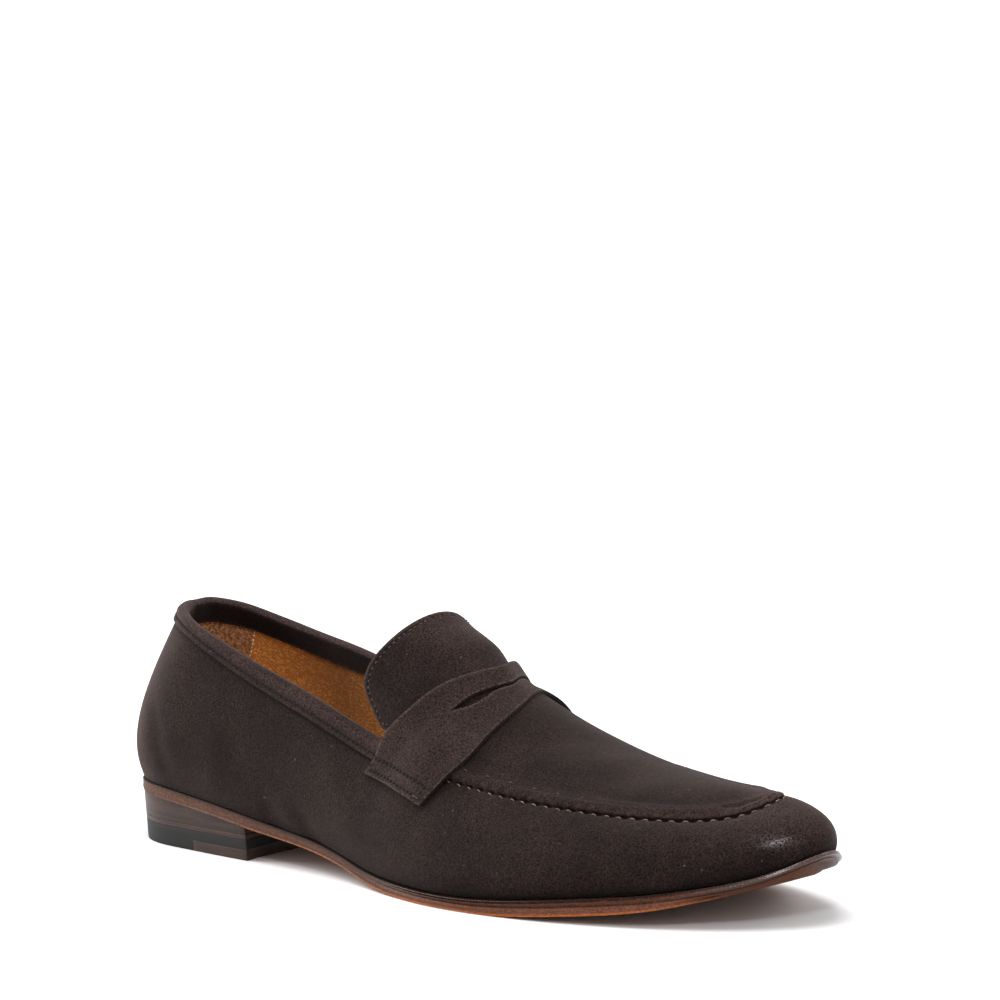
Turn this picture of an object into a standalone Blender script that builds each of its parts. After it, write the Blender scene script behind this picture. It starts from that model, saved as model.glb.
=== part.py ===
"""Suede penny loafer for the right foot, an assembly of separate solids.

Tables are in millimetres in the shoe's own frame: x runs from the back of the heel to the toe,
y is negative on the lateral (outer) side and positive on the medial side, z is up from the floor.
The finished model is in metres, with its origin under the middle of its bounding box.
"""

import bpy
import numpy as np
from mathutils import Matrix, Vector
from mathutils.bvhtree import BVHTree

MM = 0.001
OBJECT_NAME = "suede_loafer"


def columns(names, *rows):
    """Short table kept as a dictionary of its named columns."""
    return dict(zip(names.split(), np.array(rows, float).T))


# Driving sizes
SOLE_LENGTH = 297.6
GAP = 0.3
UPPER_WALL = 2.0
INSOLE_THICKNESS = 3.0
INSOLE_MARGIN = 0.6
INSOLE_BEVEL = 0.6
TONGUE_THICKNESS = 2.2
TONGUE_LENGTH = 40.2
TONGUE_SLOPE = 35.5
TONGUE_CORNER = 15.0
TONGUE_CROWN = 6.0
TONGUE_SHOULDER_TURN = 30.0
TONGUE_HALF_WIDTH = 25.6
TONGUE_FLARE = 1.3
TONGUE_DEPTH = 27.0
TONGUE_START_TURN = 85.0
TONGUE_END_TURN = 100.0
STRAP_THICKNESS = 1.4
STRAP_CLEARANCE = 0.5
BINDING_THICKNESS = 0.75
BINDING_INNER_LEG = 7.1
BINDING_CLEARANCE = 0.42
BINDING_ROUNDING = 0.3
BINDING_SHORT = 7.0
SEAM_HEIGHT = 1.0
SEAM_STEPS = (1.3, 3.5, 5.0)
SEAM_RAISE = (SEAM_HEIGHT, SEAM_HEIGHT, 0.0)

# Heel heights from the floor and the line where its leather insert starts
INSERT_TOP = 3.4
RUBBER_TOP = 6.8
BASE_LIFT_TOP = 8.6
INSERT_START = 42.5
BREAST_X = 72.0
BREAST_HOLLOW = 3.5
HEEL_INSET = 0.3
HEEL_TAPER = 0.06

# Mesh counts
SOLE_ROWS = 36
HEEL_ROWS = 14
HEEL_SPACING = 1.6
BREAST_STEPS = 3
COLLAR_STEPS = 22
APRON_STEPS = 17
TOE_STEPS = 12
WALL_LEVELS = 9
CRESCENT_STEPS = 2
TONGUE_ROWS = 12
TONGUE_COLUMNS = 18
ARCH_SAMPLES = 161
SHARP_ANGLE = 50.0

# Small steps for slopes, and a reach beyond every part
TURN_STEP = 0.005
SHARE_STEP = 0.005
FAR = 120.0

# Stations along the sole where the collar ends and where the apron's round front begins
THROAT_X = 160.0
APRON_FRONT_X = 281.0

# Outline of the outsole as half widths on the lateral and medial sides
SOLE_OUTLINE = columns(
    "x lateral medial",
    (0.0, 0.0, 0.0),
    (6.0, 15.6, 15.6),
    (20.0, 24.6, 24.6),
    (45.0, 28.6, 28.8),
    (72.0, 31.3, 30.0),
    (100.0, 32.8, 28.4),
    (125.0, 37.2, 28.6),
    (150.0, 45.0, 33.0),
    (178.0, 51.2, 41.0),
    (200.0, 51.4, 45.3),
    (220.0, 49.0, 46.2),
    (243.0, 42.8, 42.0),
    (266.0, 33.0, 32.4),
    (284.0, 21.2, 21.2),
    (293.0, 11.4, 12.0),
    (297.6, 0.0, 0.0),
)

# Side profile of the outsole as heights of its underside and its top
SOLE_PROFILE = columns(
    "x under top",
    (0.0, 16.6, 21.0),
    (25.0, 16.4, 20.6),
    (40.0, 15.2, 19.3),
    (57.0, 13.6, 17.6),
    (72.0, 11.7, 15.7),
    (92.0, 9.3, 12.8),
    (108.0, 7.4, 10.8),
    (120.0, 5.5, 8.7),
    (134.0, 2.5, 5.9),
    (148.0, 0.6, 4.5),
    (163.0, 0.0, 4.0),
    (203.0, 0.0, 4.8),
    (214.0, 0.8, 5.8),
    (236.0, 2.8, 8.1),
    (255.0, 4.9, 10.2),
    (270.0, 7.7, 12.8),
    (284.0, 11.4, 16.2),
    (290.0, 14.4, 18.6),
    (294.0, 16.8, 20.8),
    (297.6, 19.2, 23.4),
)
FLAT_START = 163.0
FLAT_END = 203.0

# Edge of the outsole from underside to top: its insets at shares of the thickness, and how much
# more the lower edge is rounded off at the toe
SOLE_EDGE = columns(
    "share inset toe",
    (0.0, 0.9, 4.6),
    (0.2, 0.1, 2.6),
    (0.52, 0.0, 0.9),
    (0.58, 0.5, 0.6),
    (0.64, 0.0, 0.4),
    (0.92, 0.0, 0.0),
    (1.0, 0.4, 0.0),
)
TOE_ROUNDING = (262.0, 294.0)

# Ledge that the outsole leaves outside the upper
LEDGE = columns(
    "x width",
    (0.0, 0.6),
    (72.0, 0.6),
    (125.0, 1.0),
    (170.0, 2.0),
    (230.0, 2.6),
    (297.6, 2.0),
)

# Top edge of the upper's wall: the collar behind the throat and the apron seam before it
TOP_EDGE = columns(
    "station x lateral_y lateral_z medial_y medial_z",
    (0.0, 18.9, 0.0, 81.5, 0.0, 81.5),
    (5.0, 20.8, 7.2, 81.4, 8.0, 81.5),
    (14.0, 26.8, 14.9, 80.8, 16.0, 79.1),
    (28.0, 37.9, 22.2, 78.7, 22.6, 74.5),
    (48.0, 54.0, 25.9, 73.7, 25.8, 69.8),
    (72.0, 75.0, 27.4, 66.6, 26.3, 65.2),
    (100.0, 101.0, 28.2, 58.4, 26.8, 57.8),
    (125.0, 123.0, 29.4, 50.7, 27.4, 51.2),
    (145.0, 140.5, 31.0, 45.2, 28.6, 47.0),
    (160.0, 154.0, 34.4, 42.4, 31.2, 43.2),
    (180.0, 173.0, 37.0, 38.4, 32.6, 39.6),
    (195.0, 187.0, 36.6, 36.4, 32.6, 38.0),
    (210.0, 200.5, 35.5, 34.6, 31.2, 36.8),
    (224.5, 213.0, 34.0, 33.4, 29.2, 36.2),
    (238.5, 225.5, 31.6, 32.5, 26.6, 35.5),
    (250.5, 236.5, 28.6, 31.7, 23.8, 35.1),
    (262.0, 247.0, 25.0, 31.4, 20.6, 35.1),
    (273.0, 257.5, 20.6, 31.3, 16.8, 35.5),
    (281.0, 265.5, 15.9, 31.9, 13.2, 36.3),
    (288.0, 272.4, 10.9, 33.4, 9.2, 37.0),
    (293.5, 276.8, 6.0, 35.7, 5.2, 37.7),
    (297.6, 278.8, 0.0, 37.8, 0.0, 37.8),
)

# Reach of the collar's binding down the outside, shorter round the heel
BINDING_LEG = columns(
    "station leg",
    (24.0, 3.8),
    (90.0, 6.2),
)

# Fullness of the wall on each side, as the reach of its curve's handles: the lower one out and up
# from the sole, the upper one out and down from the top edge
LATERAL_FULLNESS = columns(
    "x low_out low_up top_out top_down",
    (0.0, 6.8, 16.0, 13.0, 25.0),
    (28.0, 7.0, 16.0, 11.2, 23.0),
    (72.0, 5.5, 17.0, 5.0, 18.0),
    (110.0, 6.5, 15.0, 7.0, 15.0),
    (145.0, 5.5, 13.0, 8.0, 12.0),
    (180.0, 4.0, 11.0, 7.0, 8.0),
    (225.0, 4.0, 9.0, 7.5, 4.0),
    (270.0, 2.5, 8.0, 9.5, 1.8),
    (297.6, 5.0, 9.5, 10.6, 3.0),
)
MEDIAL_FULLNESS = columns(
    "x low_out low_up top_out top_down",
    (0.0, 6.8, 16.0, 13.0, 25.0),
    (28.0, 7.0, 16.0, 11.2, 23.0),
    (72.0, 5.5, 17.0, 5.0, 18.0),
    (110.0, 7.0, 16.0, 6.0, 15.0),
    (145.0, 6.5, 15.0, 6.5, 12.0),
    (180.0, 4.5, 13.0, 6.5, 9.0),
    (225.0, 4.0, 11.0, 7.5, 5.0),
    (270.0, 2.5, 9.0, 9.5, 2.0),
    (297.6, 5.0, 9.5, 10.6, 3.0),
)

# Ridge of the apron, and the roundness of its arch from seam to seam
RIDGE = columns(
    "station x y z roundness",
    (160.0, 172.5, -3.6, 63.2, 1.5),
    (180.0, 186.0, -3.0, 56.2, 1.42),
    (195.0, 195.0, -2.2, 52.0, 1.38),
    (210.0, 205.0, -1.5, 48.4, 1.33),
    (224.5, 215.5, -1.0, 45.4, 1.25),
    (238.5, 226.5, -0.5, 43.1, 1.2),
    (250.5, 236.5, 0.0, 41.6, 1.15),
    (262.0, 245.5, 0.0, 40.6, 1.1),
    (273.0, 254.5, 0.0, 40.0, 1.1),
    (281.0, 260.5, 0.0, 39.7, 1.1),
)

# Rise of the tongue's medial shoulder along it: low under the strap and full behind it
TONGUE_SHOULDER = columns(
    "share rise",
    (0.0, -0.8),
    (0.2, -1.1),
    (0.38, -0.2),
    (0.56, 1.5),
    (0.72, 0.9),
    (0.86, 0.1),
    (1.0, 0.2),
)

# Strap over the instep from its lateral to its medial end: places of its rear and front edges,
# with angles round the strap's axis, and the shares of its width between which the slit opens
STRAP_AXIS_Y = -4.0
STRAP_AXIS_Z = 30.0
STRAP = columns(
    "rear_angle rear_x front_angle front_x slit_rear slit_front",
    (-77.5, 135.2, -89.5, 166.5, 0.42, 0.42),
    (-67.0, 140.0, -76.0, 172.8, 0.42, 0.42),
    (-55.0, 143.0, -60.0, 178.8, 0.41, 0.41),
    (-39.0, 151.6, -43.0, 180.6, 0.40, 0.42),
    (-25.0, 158.6, -27.0, 181.2, 0.355, 0.53),
    (-11.0, 163.8, -12.0, 180.6, 0.37, 0.44),
    (0.0, 165.8, 0.0, 178.4, 0.42, 0.46),
    (11.0, 162.2, 12.0, 175.8, 0.37, 0.43),
    (25.0, 156.4, 27.0, 172.0, 0.375, 0.52),
    (39.0, 148.8, 43.0, 171.4, 0.40, 0.42),
    (55.0, 140.6, 60.0, 169.8, 0.41, 0.41),
    (67.0, 136.0, 76.0, 166.0, 0.42, 0.42),
    (77.5, 132.8, 89.5, 161.0, 0.42, 0.42),
)
STRAP_STEPS = 30
STRAP_SMOOTHING = 12
STRAP_FEELER = 1.0
STRAP_REAR_ROWS = 3
STRAP_FRONT_ROWS = 4
SLIT_HALF_STEPS = 7


def smooth(knots, values, at):
    """Cubic curve through the rows of a table, with slopes from the neighbouring rows."""
    knots = np.asarray(knots, float)
    values = np.asarray(values, float)
    at = np.asarray(at, float)
    step = np.diff(knots)
    chord = np.diff(values) / step
    slope = np.empty_like(values)
    slope[1:-1] = (chord[:-1] * step[1:] + chord[1:] * step[:-1]) / (step[1:] + step[:-1])
    slope[0] = chord[0]
    slope[-1] = chord[-1]
    i = np.clip(np.searchsorted(knots, at) - 1, 0, len(step) - 1)
    u = (at - knots[i]) / step[i]
    rise = u * u * (3.0 - 2.0 * u)
    start = u * (1.0 - u) ** 2 * step[i] * slope[i]
    end = u * u * (u - 1.0) * step[i] * slope[i + 1]
    return values[i] + (values[i + 1] - values[i]) * rise + start + end


def angle_of(x):
    """Ring angle of a station: 0 at the heel back, half a turn at the toe."""
    return np.arccos(np.clip(1.0 - 2.0 * np.asarray(x, float) / SOLE_LENGTH, -1.0, 1.0))


def station_of(angle):
    return SOLE_LENGTH * (1.0 - np.cos(angle)) / 2.0


def around(stations, lateral, medial, angle):
    """Value at a ring angle from a lateral and a medial column, closed at heel and toe."""
    first = angle_of(stations)
    knots = np.concatenate([first, 2.0 * np.pi - first[-2:0:-1]])
    values = np.concatenate([lateral, np.asarray(medial)[-2:0:-1]])
    knots = np.concatenate([knots[-3:] - 2.0 * np.pi, knots, knots[:3] + 2.0 * np.pi])
    values = np.concatenate([values[-3:], values, values[:3]])
    return smooth(knots, values, np.mod(angle, 2.0 * np.pi))


def sole_under(x):
    z = smooth(SOLE_PROFILE["x"], SOLE_PROFILE["under"], x)
    flat = (np.asarray(x) >= FLAT_START) & (np.asarray(x) <= FLAT_END)
    return np.where(flat, 0.0, np.maximum(z, 0.0))


def sole_top(x):
    return smooth(SOLE_PROFILE["x"], SOLE_PROFILE["top"], x)


def outline(angle, inset=0.0):
    """Plan points of the sole's edge, moved inwards by the inset, and their outward normals."""
    def edge(a):
        y = around(SOLE_OUTLINE["x"], -SOLE_OUTLINE["lateral"], SOLE_OUTLINE["medial"], a)
        return np.stack([station_of(a), y], -1)
    tangent = edge(angle + TURN_STEP) - edge(angle - TURN_STEP)
    normal = np.stack([tangent[:, 1], -tangent[:, 0]], -1)
    normal /= np.linalg.norm(normal, axis=1, keepdims=True)
    return edge(angle) - normal * np.reshape(inset, (-1, 1)), normal


def ledge_at(angle):
    return np.interp(station_of(angle), LEDGE["x"], LEDGE["width"])


def fullness(angle, column):
    lateral = LATERAL_FULLNESS[column]
    return around(LATERAL_FULLNESS["x"], lateral, MEDIAL_FULLNESS[column], angle)


def top_edge(angle):
    stations = TOP_EDGE["station"]
    x = around(stations, TOP_EDGE["x"], TOP_EDGE["x"], angle)
    y = around(stations, -TOP_EDGE["lateral_y"], TOP_EDGE["medial_y"], angle)
    z = around(stations, TOP_EDGE["lateral_z"], TOP_EDGE["medial_z"], angle)
    return np.stack([x, y, z], -1)


def wall_handles(angle):
    """Ends and handles of the wall's curve at each ring angle, from the sole to the top edge."""
    plan, normal = outline(angle, ledge_at(angle))
    foot = np.column_stack([plan, sole_top(plan[:, 0]) + GAP])
    top = top_edge(angle)
    out = np.column_stack([normal, np.zeros(len(normal))])
    up = np.array([0.0, 0.0, 1.0])
    low = foot + out * fullness(angle, "low_out")[:, None] + up * fullness(angle, "low_up")[:, None]
    high = top + out * fullness(angle, "top_out")[:, None] - up * fullness(angle, "top_down")[:, None]
    return foot, low, high, top


def wall_point(angle, share):
    """Points of the upper's outer wall: share 0 at the sole, 1 at the top edge."""
    foot, low, high, top = wall_handles(angle)
    s = np.reshape(share, (-1, 1))
    return (foot * (1 - s) ** 3 + low * 3 * s * (1 - s) ** 2
            + high * 3 * s * s * (1 - s) + top * s ** 3)


def wall_normal(angle, share):
    along = wall_point(angle + TURN_STEP, share) - wall_point(angle - TURN_STEP, share)
    upward = wall_point(angle, share + SHARE_STEP) - wall_point(angle, share - SHARE_STEP)
    normal = np.cross(along, upward)
    return normal / np.linalg.norm(normal, axis=1, keepdims=True)


def arch_row(left, middle, right, roundness, count):
    """Arch from one seam to the other over the ridge point, with even spacing along it."""
    t = np.linspace(-1.0, 1.0, ARCH_SAMPLES)
    drop = 1.0 - (1.0 - np.abs(t) ** 2) ** (1.0 / roundness)
    side = np.where(t[:, None] < 0.0, left, right)
    points = middle + (side - middle) * drop[:, None]
    points[:, 1] = middle[1] + (side[:, 1] - middle[1]) * np.abs(t)
    length = np.concatenate([[0.0], np.cumsum(np.linalg.norm(np.diff(points, axis=0), axis=1))])
    steps = np.array(SEAM_STEPS)
    inner = np.linspace(steps[-1], length[-1] - steps[-1], count + 1)
    at = np.concatenate([[0.0], steps[:-1], inner, length[-1] - steps[-2::-1], [length[-1]]])
    return np.stack([np.interp(at, length, points[:, k]) for k in range(3)], -1)


class Sheet:
    """Points and faces of an open surface or a closed solid, in millimetres."""

    def __init__(self):
        self.points = []
        self.faces = []

    def add(self, points):
        start = len(self.points)
        self.points.extend(np.asarray(points, float))
        return list(range(start, start + len(points)))

    def strip(self, first, second, closed=False):
        """Quads between two rows of equal length, triangles where their ends are shared."""
        count = len(first) if closed else len(first) - 1
        for i in range(count):
            j = (i + 1) % len(first)
            corners = [first[i], first[j], second[j], second[i]]
            face = [c for k, c in enumerate(corners) if c != corners[k - 1]]
            if len(face) > 2:
                self.faces.append(face)


def make_object(name, sheet, material, collection):
    mesh = bpy.data.meshes.new(name)
    points = [Vector(p) * MM for p in np.asarray(sheet.points, float)]
    mesh.from_pydata(points, [], sheet.faces)
    mesh.shade_smooth()
    mesh.set_sharp_from_angle(angle=np.radians(SHARP_ANGLE))
    mesh.materials.append(material)
    part = bpy.data.objects.new(name, mesh)
    collection.objects.link(part)
    return part


def make_material(name, colour, roughness):
    material = bpy.data.materials.new(name)
    material.use_nodes = True
    shader = material.node_tree.nodes["Principled BSDF"]
    shader.inputs["Base Color"].default_value = (*colour, 1.0)
    shader.inputs["Roughness"].default_value = roughness
    shader.inputs["Metallic"].default_value = 0.0
    return material


def thicken(part, thickness, offset):
    """Give an open surface its real thickness, inwards with offset -1 and outwards with 1."""
    solid = part.modifiers.new("thickness", "SOLIDIFY")
    solid.thickness = thickness * MM
    solid.offset = offset
    solid.use_even_offset = False


def leaf(rings, front=None):
    """Closed plate from rings that run lateral to the front and back along the medial side.

    Each ring has an even count of points, so points i and -i face each other across the plate.
    With a front count, that many points on each side before the middle form a hollow front edge.
    """
    sheet = Sheet()
    loops = [sheet.add(ring) for ring in rings]
    for lower, upper in zip(loops[:-1], loops[1:]):
        sheet.strip(lower, upper, closed=True)
    half = len(loops[0]) // 2
    last = half if front is None else half - front
    for loop, flip in ((loops[0], True), (loops[-1], False)):
        caps = []
        for i in range(last - 1 if front is not None else last):
            face = [loop[i], loop[i + 1], loop[-i - 1], loop[-i]]
            caps.append([c for k, c in enumerate(face) if c != face[k - 1]])
        if front is not None:
            i = last - 1
            caps.append(loop[i:len(loop) - i + 1])
        for face in caps:
            sheet.faces.append(face[::-1] if flip else face)
    return sheet


def sole_ring(inset, toe, height):
    """Ring round the whole sole at an inset, larger at the toe, at the heights of a function of x."""
    angle = np.linspace(0.0, 2.0 * np.pi, 2 * SOLE_ROWS, endpoint=False)
    plan, _ = outline(angle, inset + toe * np.interp(station_of(angle), TOE_ROUNDING, (0.0, 1.0)))
    return np.column_stack([plan, height(plan[:, 0])])


def outsole_sheet():
    rings = []
    for share, inset, toe in zip(SOLE_EDGE["share"], SOLE_EDGE["inset"], SOLE_EDGE["toe"]):
        rings.append(sole_ring(inset, toe,
                               lambda x: sole_under(x) + (sole_top(x) - sole_under(x)) * share))
    return leaf(rings)


def insole_sheet():
    """Flat board inside the foot of the upper, resting on the outsole."""
    angle = np.linspace(0.0, 2.0 * np.pi, 2 * SOLE_ROWS, endpoint=False)
    inset = ledge_at(angle) + UPPER_WALL + INSOLE_MARGIN
    bevel = INSOLE_BEVEL
    rings = []
    for extra, lift in ((0.0, GAP), (0.0, INSOLE_THICKNESS - bevel), (bevel, INSOLE_THICKNESS)):
        plan, _ = outline(angle, inset + extra)
        rings.append(np.column_stack([plan, sole_top(plan[:, 0]) + lift]))
    return leaf(rings)


def heel_ring(height):
    """Ring round the heel: its outline up to the breast, then the hollow line of the breast.

    The heel tapers by a little towards the floor.
    """
    back = angle_of(np.linspace(0.0, 1.0, HEEL_ROWS + 1) ** HEEL_SPACING * BREAST_X)
    depth = sole_under(np.zeros(1)) - height(np.zeros(1))
    inset = HEEL_INSET + HEEL_TAPER * depth
    side, _ = outline(back, np.full(len(back), inset))
    across = np.arange(BREAST_STEPS - 1, -1, -1) / BREAST_STEPS
    hollow_x = BREAST_X - BREAST_HOLLOW * (1.0 - across ** 2)
    breast = np.column_stack([hollow_x, side[-1, 1] * across])
    lateral = np.vstack([side, breast])
    other, _ = outline(2.0 * np.pi - back[:0:-1], np.full(HEEL_ROWS, inset))
    mirror = np.column_stack([hollow_x[-2::-1], other[0, 1] * across[-2::-1]])
    ring = np.vstack([lateral, mirror, other])
    return np.column_stack([ring, height(ring[:, 0])])


def heel_sheet(bottom, top):
    return leaf([heel_ring(bottom), heel_ring(top)], front=BREAST_STEPS)


def level(height):
    return lambda x: np.full(len(x), height)


def upper_sheet():
    """Outer surface of the upper: the wall, then the raised seam and the apron inside it."""
    collar = np.linspace(0.0, angle_of(THROAT_X), COLLAR_STEPS + 1)
    sides = np.linspace(angle_of(THROAT_X), angle_of(APRON_FRONT_X), APRON_STEPS + 1)
    toe = np.linspace(sides[-1], 2.0 * np.pi - sides[-1], TOE_STEPS + 1)
    ring = np.concatenate([collar[:-1], sides[:-1], toe[:-1],
                           2.0 * np.pi - sides[:0:-1], 2.0 * np.pi - collar[:0:-1]])
    sheet = Sheet()
    levels = [sheet.add(wall_point(ring, np.full(len(ring), s)))
              for s in np.linspace(0.0, 1.0, WALL_LEVELS + 1)]
    for lower, upper in zip(levels[:-1], levels[1:]):
        sheet.strip(lower, upper, closed=True)
    top = levels[-1]

    ridge = {name: smooth(RIDGE["station"], RIDGE[name], station_of(sides)) for name in RIDGE}
    rows = []
    for j in range(APRON_STEPS + 1):
        left = top[COLLAR_STEPS + j]
        right = top[-COLLAR_STEPS - j]
        middle = np.array([ridge["x"][j], ridge["y"][j], ridge["z"][j]])
        roundness = ridge["roundness"][j]
        points = arch_row(sheet.points[left], middle, sheet.points[right], roundness, TOE_STEPS)
        rows.append([left] + sheet.add(points[1:-1]) + [right])
    for row, following in zip(rows[:-1], rows[1:]):
        sheet.strip(following, row)

    edge = [top[COLLAR_STEPS + APRON_STEPS + m] for m in range(TOE_STEPS + 1)]
    depth = len(SEAM_STEPS)
    inner_row = rows[-1][depth:-depth]
    ribbons = [edge]
    for k, step in enumerate(SEAM_STEPS):
        middle = []
        for m in range(1, TOE_STEPS):
            start = sheet.points[edge[m]]
            reach = sheet.points[inner_row[m]] - start
            middle.append(start + reach * step / np.linalg.norm(reach))
        ribbons.append([rows[-1][k + 1]] + sheet.add(middle) + [rows[-1][-k - 2]])
    for k in range(1, CRESCENT_STEPS):
        share = k / CRESCENT_STEPS
        middle = []
        for m in range(1, TOE_STEPS):
            start = sheet.points[ribbons[depth][m]]
            middle.append(start + (sheet.points[inner_row[m]] - start) * share)
        ribbons.append([inner_row[0]] + sheet.add(middle) + [inner_row[-1]])
    ribbons.append(inner_row)
    for ribbon, following in zip(ribbons[:-1], ribbons[1:]):
        sheet.strip(ribbon, following)

    normals = sheet_normals(sheet)
    for k, height in enumerate(SEAM_RAISE):
        raised = set(ribbons[k + 1])
        for row in rows:
            raised.update((row[k + 1], row[-k - 2]))
        for index in raised:
            sheet.points[index] = sheet.points[index] + normals[index] * height
    throat = np.array([sheet.points[i] for i in rows[0]])
    return sheet, throat


def sheet_normals(sheet):
    points = np.asarray(sheet.points)
    total = np.zeros_like(points)
    for face in sheet.faces:
        corner = points[face]
        normal = np.zeros(3)
        for k in range(1, len(face) - 1):
            normal += np.cross(corner[k] - corner[0], corner[k + 1] - corner[0])
        total[face] += normal
    return total / np.maximum(np.linalg.norm(total, axis=1, keepdims=True), 1e-9)


def binding_sheet():
    """Folded strip over the collar's edge, a U section from strap to strap round the heel."""
    limit = angle_of(THROAT_X - BINDING_SHORT)
    angle = np.linspace(-limit, limit, 2 * COLLAR_STEPS + 1)
    one = np.ones(len(angle))
    leg = np.interp(station_of(angle), BINDING_LEG["station"], BINDING_LEG["leg"])
    lining_leg = one * BINDING_INNER_LEG
    clear = BINDING_CLEARANCE
    outer = clear + BINDING_THICKNESS
    inside = -UPPER_WALL
    fold = outer * BINDING_ROUNDING
    profile = (
        (outer, leg), (outer, leg / 2), (outer, one * clear),
        (fold, -one * outer), (inside - fold, -one * outer),
        (inside - outer, one * clear), (inside - outer, lining_leg / 2), (inside - outer, lining_leg),
        (inside - clear, lining_leg), (inside - clear, lining_leg / 2), (inside - clear, -one * clear),
        (clear, -one * clear), (clear, leg / 2), (clear, leg),
    )
    top = wall_point(angle, one)
    upward = top - wall_point(angle, one - SHARE_STEP)
    upward /= np.linalg.norm(upward, axis=1, keepdims=True)
    sheet = Sheet()
    runs = []
    for offset, down in profile:
        if down.max() <= clear:
            point = top - upward * down[:, None]
            normal = wall_normal(angle, one - SHARE_STEP)
        else:
            share = share_below(angle, down)
            point = wall_point(angle, share)
            normal = wall_normal(angle, share)
        runs.append(sheet.add(point + normal * offset))
    runs.append(runs[0])
    for run, following in zip(runs[:-1], runs[1:]):
        sheet.strip(run, following)
    sheet.faces.append([run[0] for run in runs[:-1]])
    sheet.faces.append([run[-1] for run in runs[-2::-1]])
    return sheet


def share_below(angle, distance):
    """Shares of the wall's curve that lie the given distances under the top edge."""
    shares = np.linspace(1.0, 0.5, ARCH_SAMPLES)
    rows = np.stack([wall_point(angle, np.full(len(angle), s)) for s in shares])
    length = np.cumsum(np.linalg.norm(np.diff(rows, axis=0), axis=2), axis=0)
    return np.array([np.interp(distance[i], length[:, i], shares[1:]) for i in range(len(angle))])


def tongue_sheet(throat):
    """Arched tongue that carries the apron's line on above the strap, with rounded corners."""
    slope = np.radians(TONGUE_SLOPE)
    back = np.array([-np.cos(slope), 0.0, np.sin(slope)])
    middle = np.array([RIDGE["x"][0], RIDGE["y"][0], RIDGE["z"][0]])
    lean = middle - (throat[0] + throat[-1]) / 2
    lean[1] = 0.0
    lean /= np.linalg.norm(lean)
    start = middle + back * 2 * GAP
    sheet = Sheet()
    rows = []
    for share in np.linspace(0.0, 1.0, TONGUE_ROWS + 1):
        half_width = TONGUE_HALF_WIDTH + TONGUE_FLARE * (1.0 - share)
        half_turn = np.radians(TONGUE_START_TURN + (TONGUE_END_TURN - TONGUE_START_TURN) * share)
        turn = np.linspace(-1.0, 1.0, TONGUE_COLUMNS + 1) * half_turn
        side = half_width * np.sin(turn)
        depth = TONGUE_DEPTH * (1.0 - np.cos(turn))
        corner = np.maximum((np.abs(turn) - half_turn) * half_width + TONGUE_CORNER, 0.0)
        trim = TONGUE_CORNER - np.sqrt(np.maximum(TONGUE_CORNER ** 2 - corner ** 2, 0.0))
        trim = trim + TONGUE_CROWN * (turn / half_turn) ** 2
        run = share * (TONGUE_LENGTH - trim)
        shoulder = np.cos(turn - np.radians(TONGUE_SHOULDER_TURN)) ** 2
        rise = smooth(TONGUE_SHOULDER["share"], TONGUE_SHOULDER["rise"], share) * shoulder - depth
        row = start + run[:, None] * back + rise[:, None] * lean
        row[:, 1] += side
        rows.append(sheet.add(row))
    for row, following in zip(rows[:-1], rows[1:]):
        sheet.strip(row, following)
    return sheet


def strap_sheet(carriers):
    """Band over the instep with an eye-shaped slit, laid on whatever lies furthest out under it."""
    trees = [BVHTree.FromPolygons([Vector(p) for p in s.points], s.faces) for s in carriers]
    knots = np.arange(len(STRAP["rear_x"]))
    place = np.linspace(0.0, knots[-1], STRAP_STEPS + 1)
    at = {name: smooth(knots, STRAP[name], place)[:, None] for name in STRAP}
    rear = np.linspace(0.0, 1.0, STRAP_REAR_ROWS + 1)
    front = np.linspace(0.0, 1.0, STRAP_FRONT_ROWS + 1)
    across = np.hstack([at["slit_rear"] * rear, at["slit_front"] + (1.0 - at["slit_front"]) * front])
    angle = np.radians(at["rear_angle"] + (at["front_angle"] - at["rear_angle"]) * across)
    x = at["rear_x"] + (at["front_x"] - at["rear_x"]) * across
    reach = np.array([[outermost(trees, x[i, j], angle[i, j]) for j in range(x.shape[1])]
                      for i in range(x.shape[0])]) + STRAP_CLEARANCE
    for _ in range(STRAP_SMOOTHING):
        even = reach.copy()
        even[1:-1] = (reach[:-2] + reach[2:]) / 2
        reach = np.maximum(reach, even)
    y = STRAP_AXIS_Y + reach * np.sin(angle)
    z = STRAP_AXIS_Z + reach * np.cos(angle)
    points = np.stack([x, y, z], -1)
    sheet = Sheet()
    columns = []
    split = STRAP_REAR_ROWS
    for i in range(len(points)):
        if abs(i - STRAP_STEPS // 2) < SLIT_HALF_STEPS:
            columns.append(sheet.add(points[i]))
        else:
            rows = sheet.add(np.delete(points[i], split + 1, axis=0))
            columns.append(rows[:split + 1] + rows[split:])
    for column, following in zip(columns[:-1], columns[1:]):
        sheet.strip(column[:split + 1], following[:split + 1])
        sheet.strip(column[split + 1:], following[split + 1:])
    return sheet


def outermost(trees, x, angle):
    """Distance from the strap's axis to the outermost surface near one direction."""
    distances = [0.0]
    for side_x in (-STRAP_FEELER, 0.0, STRAP_FEELER):
        for turn in (-STRAP_FEELER, 0.0, STRAP_FEELER):
            aim = angle + turn / STRAP_AXIS_Z
            outward = Vector((0.0, np.sin(aim), np.cos(aim)))
            axis = Vector((x + side_x, STRAP_AXIS_Y, STRAP_AXIS_Z))
            for tree in trees:
                hit = tree.ray_cast(axis + outward * FAR, -outward, FAR)
                if hit[0] is not None:
                    distances.append(FAR - hit[3])
    return max(distances)


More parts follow.
